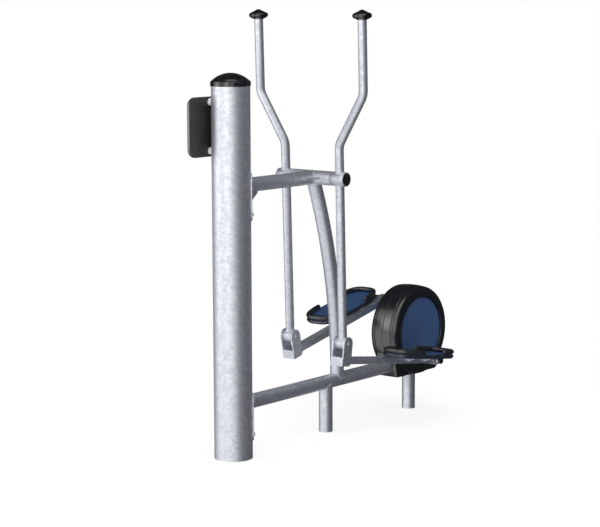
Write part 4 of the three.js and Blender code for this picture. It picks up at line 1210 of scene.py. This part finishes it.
class WALKER_OT_pedal_bars(bpy.types.Operator):
    """Fold the pedal bars and fit their forks, pins and caps"""

    bl_idname = "walker.pedal_bars"
    bl_label = "Pedal bars"

    def execute(self, context):
        edge = TURNED_EDGE
        bore = PIN_RADIUS + GAP
        housing_end = ARM_OFFSET + BAR_WIDTH / 2
        housing_half = (housing_end - HOUSING_INNER) / 2
        face = DISC_FACE + GAP
        flange = face + PIN_FLANGE_THICKNESS
        cap_start = housing_end + BOSS_RUN + GAP
        cap_end = cap_start + PIN_CAP_THICKNESS
        pin = [
            (NEAR_AXIS, face),
            (PIN_FLANGE_RADIUS - edge, face),
            (PIN_FLANGE_RADIUS, face + edge),
            (PIN_FLANGE_RADIUS, flange - edge),
            (PIN_FLANGE_RADIUS - edge, flange),
            (PIN_RADIUS, flange),
            (PIN_RADIUS, cap_start + PIN_SEAT),
            (NEAR_AXIS, cap_start + PIN_SEAT),
        ]
        cap = [
            (NEAR_AXIS, cap_start + PIN_CAP_BORE),
            (bore, cap_start + PIN_CAP_BORE),
            (bore, cap_start),
            (BOSS_RADIUS, cap_start),
            *soft_edge(BOSS_RADIUS, cap_end, PIN_CAP_EDGE),
            (NEAR_AXIS, cap_end),
        ]
        for name, sign in SIDES:
            place = bar_matrix(name)
            body = f"{name}_pedal"
            bar = f"{name}_pedal_bar"
            add_piece(f"{bar}_tube", self.bar_form(sign), "steel", body, [bar], place, bevel=BAR_EDGE)
            end = Vector((BAR_REACH, 0, -PIN_DROP))
            out = ACROSS * sign
            form = Form().collar(HOUSING_RADIUS, bore, housing_half, end + out * (housing_end - housing_half))
            form.collar(BOSS_RADIUS, bore, BOSS_RUN / 2, end + out * (housing_end + BOSS_RUN / 2))
            add_piece(f"{bar}_housing", form, "steel", body, [bar], place)

            head = CHEEK_OUTER + GAP
            bolt = domed_bolt(PIVOT_HEAD_RADIUS, PIVOT_HEAD_RISE, shank=PIVOT_BOLT_RADIUS, run=head - 0.0002)
            form = Form()
            for way in (-1, 1):
                spot = Matrix.Translation(ACROSS * (sign * ARM_OFFSET + way * head))
                form.add(bolt, spot @ Matrix.Rotation(-way * math.pi / 2, 4, "X"))
            add_piece(f"{name}_pivot_bolt_heads", form, "stainless", body, [f"{name}_pivot_bolt"], place)
            form = Form().spool(pin, end, sign)
            add_piece(f"{name}_pin_shaft", form, "stainless", body, [f"{name}_crank_pin"], place, sharp=30)
            form = Form().spool(cap, end, sign)
            cap_node = f"{name}_pin_cap"
            add_piece(f"{cap_node}_dome", form, "caps", body, [cap_node], place, sharp=30)
        return {"FINISHED"}

    def bar_form(self, sign):
        """The bar with its fork, foot pads and foot gussets, in the bar's own frame."""
        middle = sign * ARM_OFFSET
        top, bottom = -BAR_DROP + BAR_HEIGHT / 2, -BAR_DROP - BAR_HEIGHT / 2
        half = BAR_WIDTH / 2
        step = CHEEK_RADIUS - CHEEK_CHAMFER
        form = Form()
        cheek = [(CHEEK_RADIUS * math.cos(t), CHEEK_RADIUS * math.sin(t)) for t in full_turn(48)[:25]]
        cheek += [(-CHEEK_RADIUS, -CHEEK_BOTTOM), (step, -CHEEK_BOTTOM)]
        cheek.append((CHEEK_RADIUS, CHEEK_CHAMFER - CHEEK_BOTTOM))
        for way in (-1, 1):
            spot = Matrix.Translation((0, middle + way * (CHEEK_OUTER - CHEEK_WALL / 2), 0))
            form.prism(cheek, CHEEK_WALL, spot @ Matrix.Rotation(math.pi / 2, 4, "X"))
        back = -FORK_PLATE_FACE + FORK_PLATE_THICKNESS
        form.block(
            (-FORK_PLATE_FACE, middle - CHEEK_OUTER, -CHEEK_BOTTOM),
            (back, middle + CHEEK_OUTER, FORK_PLATE_HEIGHT - CHEEK_BOTTOM),
        )
        form.block(
            (back - FORK_PLATE_THICKNESS / 2, middle - CHEEK_MIDDLE, bottom),
            (step, middle + CHEEK_MIDDLE, top),
        )
        section = rounded_rectangle(BAR_WIDTH, BAR_HEIGHT, BAR_CORNER, 4)
        form.loft([[Vector((x, middle + y, z - BAR_DROP)) for y, z in section] for x in (back, BAR_REACH)])
        root, tip = (sign * (ARM_OFFSET + half + reach) for reach in (-BAR_WALL, FOOT_GUSSET_REACH))
        shape = [(root, top), (tip, top), (tip, top - FOOT_GUSSET_TOE), (root, top - FOOT_GUSSET_DROP)]
        for x in FOOT_GUSSET_PLACES:
            faces = (x - FOOT_GUSSET_THICKNESS / 2, x + FOOT_GUSSET_THICKNESS / 2)
            form.loft([[Vector((face, y, z)) for y, z in shape] for face in faces])
        for x in FOOT_PAD_PLACES:
            form.block(
                (x - FOOT_PAD_HALF_LENGTH, middle - half, top - BAR_WALL),
                (x + FOOT_PAD_HALF_LENGTH, middle + half, top + FOOT_PAD_HEIGHT),
            )
        return form


class WALKER_OT_footplates(bpy.types.Operator):
    """Shape the footplates with their rings and rails"""

    bl_idname = "walker.footplates"
    bl_label = "Footplates"

    def execute(self, context):
        low_bottom = -BAR_DROP + BAR_HEIGHT / 2 + FOOT_PAD_HEIGHT + GAP
        ring_height = low_bottom + PLATE_THICKNESS + GAP + RING_RADIUS
        plate_bottom = ring_height + RING_RADIUS + GAP
        rail_height = plate_bottom + PLATE_THICKNESS + GAP + RAIL_RADIUS
        turns = full_turn(160)
        neck = RING_REACH - RING_RADIUS - GAP
        layers = []
        for bottom in (low_bottom, plate_bottom):
            top = bottom + PLATE_THICKNESS
            layers += [
                (PLATE_REACH - PLATE_EDGE, bottom),
                (PLATE_REACH, bottom + PLATE_EDGE),
                (PLATE_REACH, top - PLATE_EDGE),
                (PLATE_REACH - PLATE_EDGE, top),
            ]
        layers[4:4] = [(neck, low_bottom + PLATE_THICKNESS), (neck, plate_bottom)]
        for name, sign in SIDES:
            place = bar_matrix(name) @ Matrix.Translation((FOOT_CENTRE, sign * FOOT_OFFSET, 0))
            body = f"{name}_pedal"
            form = Form().loft([[foot_point(turn, *layer) for turn in turns] for layer in layers])
            plate = f"{name}_footplate"
            add_piece(f"{plate}_plate", form, "blue", body, [plate], place, sharp=20)
            form = Form().loft(foot_bar(turns, RING_REACH, ring_height, RING_RADIUS), loop=True)
            add_piece(f"{name}_ring_band", form, "rubber", body, [f"{name}_foot_ring"], place)
            for rail, end in RAIL_ENDS:
                sweep = math.acos((abs(end) / FOOT_HALF_LENGTH) ** (FOOT_POWER / 2))
                middle = math.pi if end < 0 else 0
                rail_turns = [middle + sweep * (i / 36 - 1) for i in range(73)]
                form = Form().loft(round_ends(foot_bar(rail_turns, 0, rail_height, RAIL_RADIUS)))
                add_piece(f"{name}_{rail}_tube", form, "rubber", body, [f"{name}_{rail}"], place)
        return {"FINISHED"}


def facing(azimuth, drop):
    """The direction towards an azimuth, tilted down."""
    level = math.cos(drop)
    return Vector((math.cos(azimuth) * level, math.sin(azimuth) * level, -math.sin(drop)))


def seen_directly(tree):
    """Tells the camera's rays, and those that metal or glass sends on, from the rest."""
    rays = node(tree, "LightPath").outputs
    seen = node(tree, "Math", {0: rays["Is Camera Ray"], 1: rays["Is Glossy Ray"]}, operation="MAXIMUM")
    seen = {0: seen.outputs[0], 1: rays["Is Transmission Ray"]}
    return node(tree, "Math", seen, operation="MAXIMUM").outputs[0]


def shader_mix(tree, share, first, second):
    return node(tree, "MixShader", {0: share, 1: first, 2: second}).outputs[0]


class WALKER_OT_stage(bpy.types.Operator):
    """Build the studio: floor, world, lamps, dark flags and camera"""

    bl_idname = "walker.stage"
    bl_label = "Stage"

    def execute(self, context):
        stage = context.scene.walker_stage
        self.world(context, stage.air)
        self.floor(stage.floor)
        for name, setting, size, place, tilt in PANELS:
            self.lamp(name, getattr(stage, setting), size, place, tilt)
        self.flags()
        self.camera(context)
        context.scene.view_settings.view_transform = "Standard"
        return {"FINISHED"}

    def world(self, context, air):
        """White to the camera, a little dimmer in reflections, and an even light to the rest."""
        world = bpy.data.worlds.new("Studio")
        world.use_nodes = True
        context.scene.world = world
        tree = world.node_tree
        even = tree.nodes["Background"]
        fill(even, {"Color": WHITE, "Strength": air})
        white = node(tree, "Background", {"Color": WHITE}).outputs[0]
        mirrored = node(tree, "Background", {"Color": WHITE, "Strength": MIRRORED_SKY}).outputs[0]
        shown = shader_mix(tree, seen_directly(tree), even.outputs[0], white)
        sky = shader_mix(tree, node(tree, "LightPath").outputs["Is Glossy Ray"], shown, mirrored)
        fill(tree.nodes["World Output"], {"Surface": sky})

    def sheet(self, name, points, faces, finish_of_sheet):
        """A flat or curved sheet of the studio."""
        mesh = bpy.data.meshes.new(name)
        mesh.from_pydata(points, [], faces)
        mesh.materials.append(finish_of_sheet)
        made = new_object(name, mesh)
        return made

    def floor(self, glow):
        """A pale floor that is nearly white to the camera and keeps the object's shadow."""
        made, tree, shader = new_material("Pale floor")
        fill(shader, {"Base Color": (FLOOR_TONE,) * 3 + (1,), "Roughness": 0.9, "Specular IOR Level": 0.0})
        light, dark = (node(tree, "Emission", {"Strength": strength}).outputs[0] for strength in (glow, 0))
        dimmed = shader_mix(tree, FLOOR_DIMMING, shader.outputs[0], dark)
        shown = node(tree, "AddShader", {0: dimmed, 1: light}).outputs[0]
        surface = shader_mix(tree, seen_directly(tree), shader.outputs[0], shown)
        fill(tree.nodes["Material Output"], {"Surface": surface})
        corners = [(x * FLOOR_REACH, y * FLOOR_REACH, 0) for x, y in ((-1, -1), (1, -1), (1, 1), (-1, 1))]
        self.sheet("floor", corners, [(0, 1, 2, 3)], made).visible_glossy = False

    def flags(self, steps=48):
        """A dark wall with a low sheet in front of it, and a dark roof, which only reflections see."""
        dark, _, shader = new_material("Dark flag")
        fill(shader, {"Base Color": FLAG_COLOUR, "Roughness": 1.0})
        first, last = WALL_TURNS
        low = UP * SHEET_HEIGHT
        points = []
        for i in range(steps + 1):
            turn = math.radians(first + (last - first) * i / steps)
            back = math.radians(first + (last - 360 - first) * i / steps)
            out, inner = facing(turn, 0) * WALL_DISTANCE, facing(back, 0) * SHEET_NEAR
            points += [tuple(inner + low), tuple(out + low), tuple(out + UP * WALL_HEIGHT)]
        starts = [3 * i + k for i in range(steps) for k in range(2)]
        faces = [(start, start + 3, start + 4, start + 1) for start in starts]
        edges = ((ROOF_START, -1), (1, -1), (1, 1), (ROOF_START, 1))
        corners = [(x * WALL_DISTANCE, y * WALL_DISTANCE, WALL_HEIGHT) for x, y in edges]
        for name, around, made_of in (("dark_wall", points, faces), ("dark_roof", corners, [(0, 1, 2, 3)])):
            flag = self.sheet(name, around, made_of, dark)
            flag.visible_camera = False
            flag.visible_diffuse = False
            flag.visible_transmission = False
            flag.visible_shadow = False

    def lamp(self, name, power, size, place, tilt):
        """A panel of light that faces the object's axis, tilted down by a number of degrees."""
        data = bpy.data.lights.new(name, "AREA")
        data.energy = power
        data.shape = "RECTANGLE"
        data.size, data.size_y = size
        panel = new_object(name, data)
        azimuth, distance, height = place
        turn = math.radians(azimuth)
        panel.location = facing(turn, 0) * distance + UP * height
        panel.rotation_mode = "QUATERNION"
        panel.rotation_quaternion = facing(turn + math.pi, math.radians(tilt)).to_track_quat("-Z", "Y")

    def camera(self, context):
        lens = bpy.data.cameras.new("Camera")
        lens.lens = CAMERA_LENS
        lens.sensor_width = 36
        lens.sensor_fit = "HORIZONTAL"
        lens.shift_x, lens.shift_y = CAMERA_SHIFT
        lens.clip_start, lens.clip_end = 0.1, 100
        camera = new_object("Camera", lens)
        camera.location = CAMERA_PLACE
        camera.rotation_mode = "QUATERNION"
        roll = Matrix.Rotation(CAMERA_ROLL, 3, "Z").to_quaternion()
        camera.rotation_quaternion = facing(CAMERA_AZIMUTH, CAMERA_DROP).to_track_quat("-Z", "Y") @ roll
        context.scene.camera = camera


OPERATORS = (
    WALKER_OT_post,
    WALKER_OT_sign,
    WALKER_OT_saddles,
    WALKER_OT_frame_tubes,
    WALKER_OT_casing,
    WALKER_OT_crank,
    WALKER_OT_arms,
    WALKER_OT_pedal_bars,
    WALKER_OT_footplates,
    WALKER_OT_stage,
)


class WALKER_PT_panel(bpy.types.Panel):
    bl_idname = "WALKER_PT_panel"
    bl_label = "Air walker"
    bl_space_type = "VIEW_3D"
    bl_region_type = "UI"
    bl_category = "Air walker"

    def draw(self, context):
        for name, group in GROUPS:
            box = self.layout.box()
            settings = getattr(context.scene, name)
            for label in group.__annotations__:
                box.prop(settings, label)
        for operator in OPERATORS:
            self.layout.operator(operator.bl_idname)


def register():
    for name, group in GROUPS:
        bpy.utils.register_class(group)
        setattr(bpy.types.Scene, name, PointerProperty(type=group))
    for made in (*OPERATORS, WALKER_PT_panel):
        bpy.utils.register_class(made)


def unregister():
    for made in (WALKER_PT_panel, *reversed(OPERATORS)):
        bpy.utils.unregister_class(made)
    for name, group in reversed(GROUPS):
        delattr(bpy.types.Scene, name)
        bpy.utils.unregister_class(group)


def main():
    register()
    for operator in OPERATORS:
        piece_maker = getattr(bpy.ops.walker, operator.bl_idname.split(".")[1])
        piece_maker()


if __name__ == "__main__":
    main()
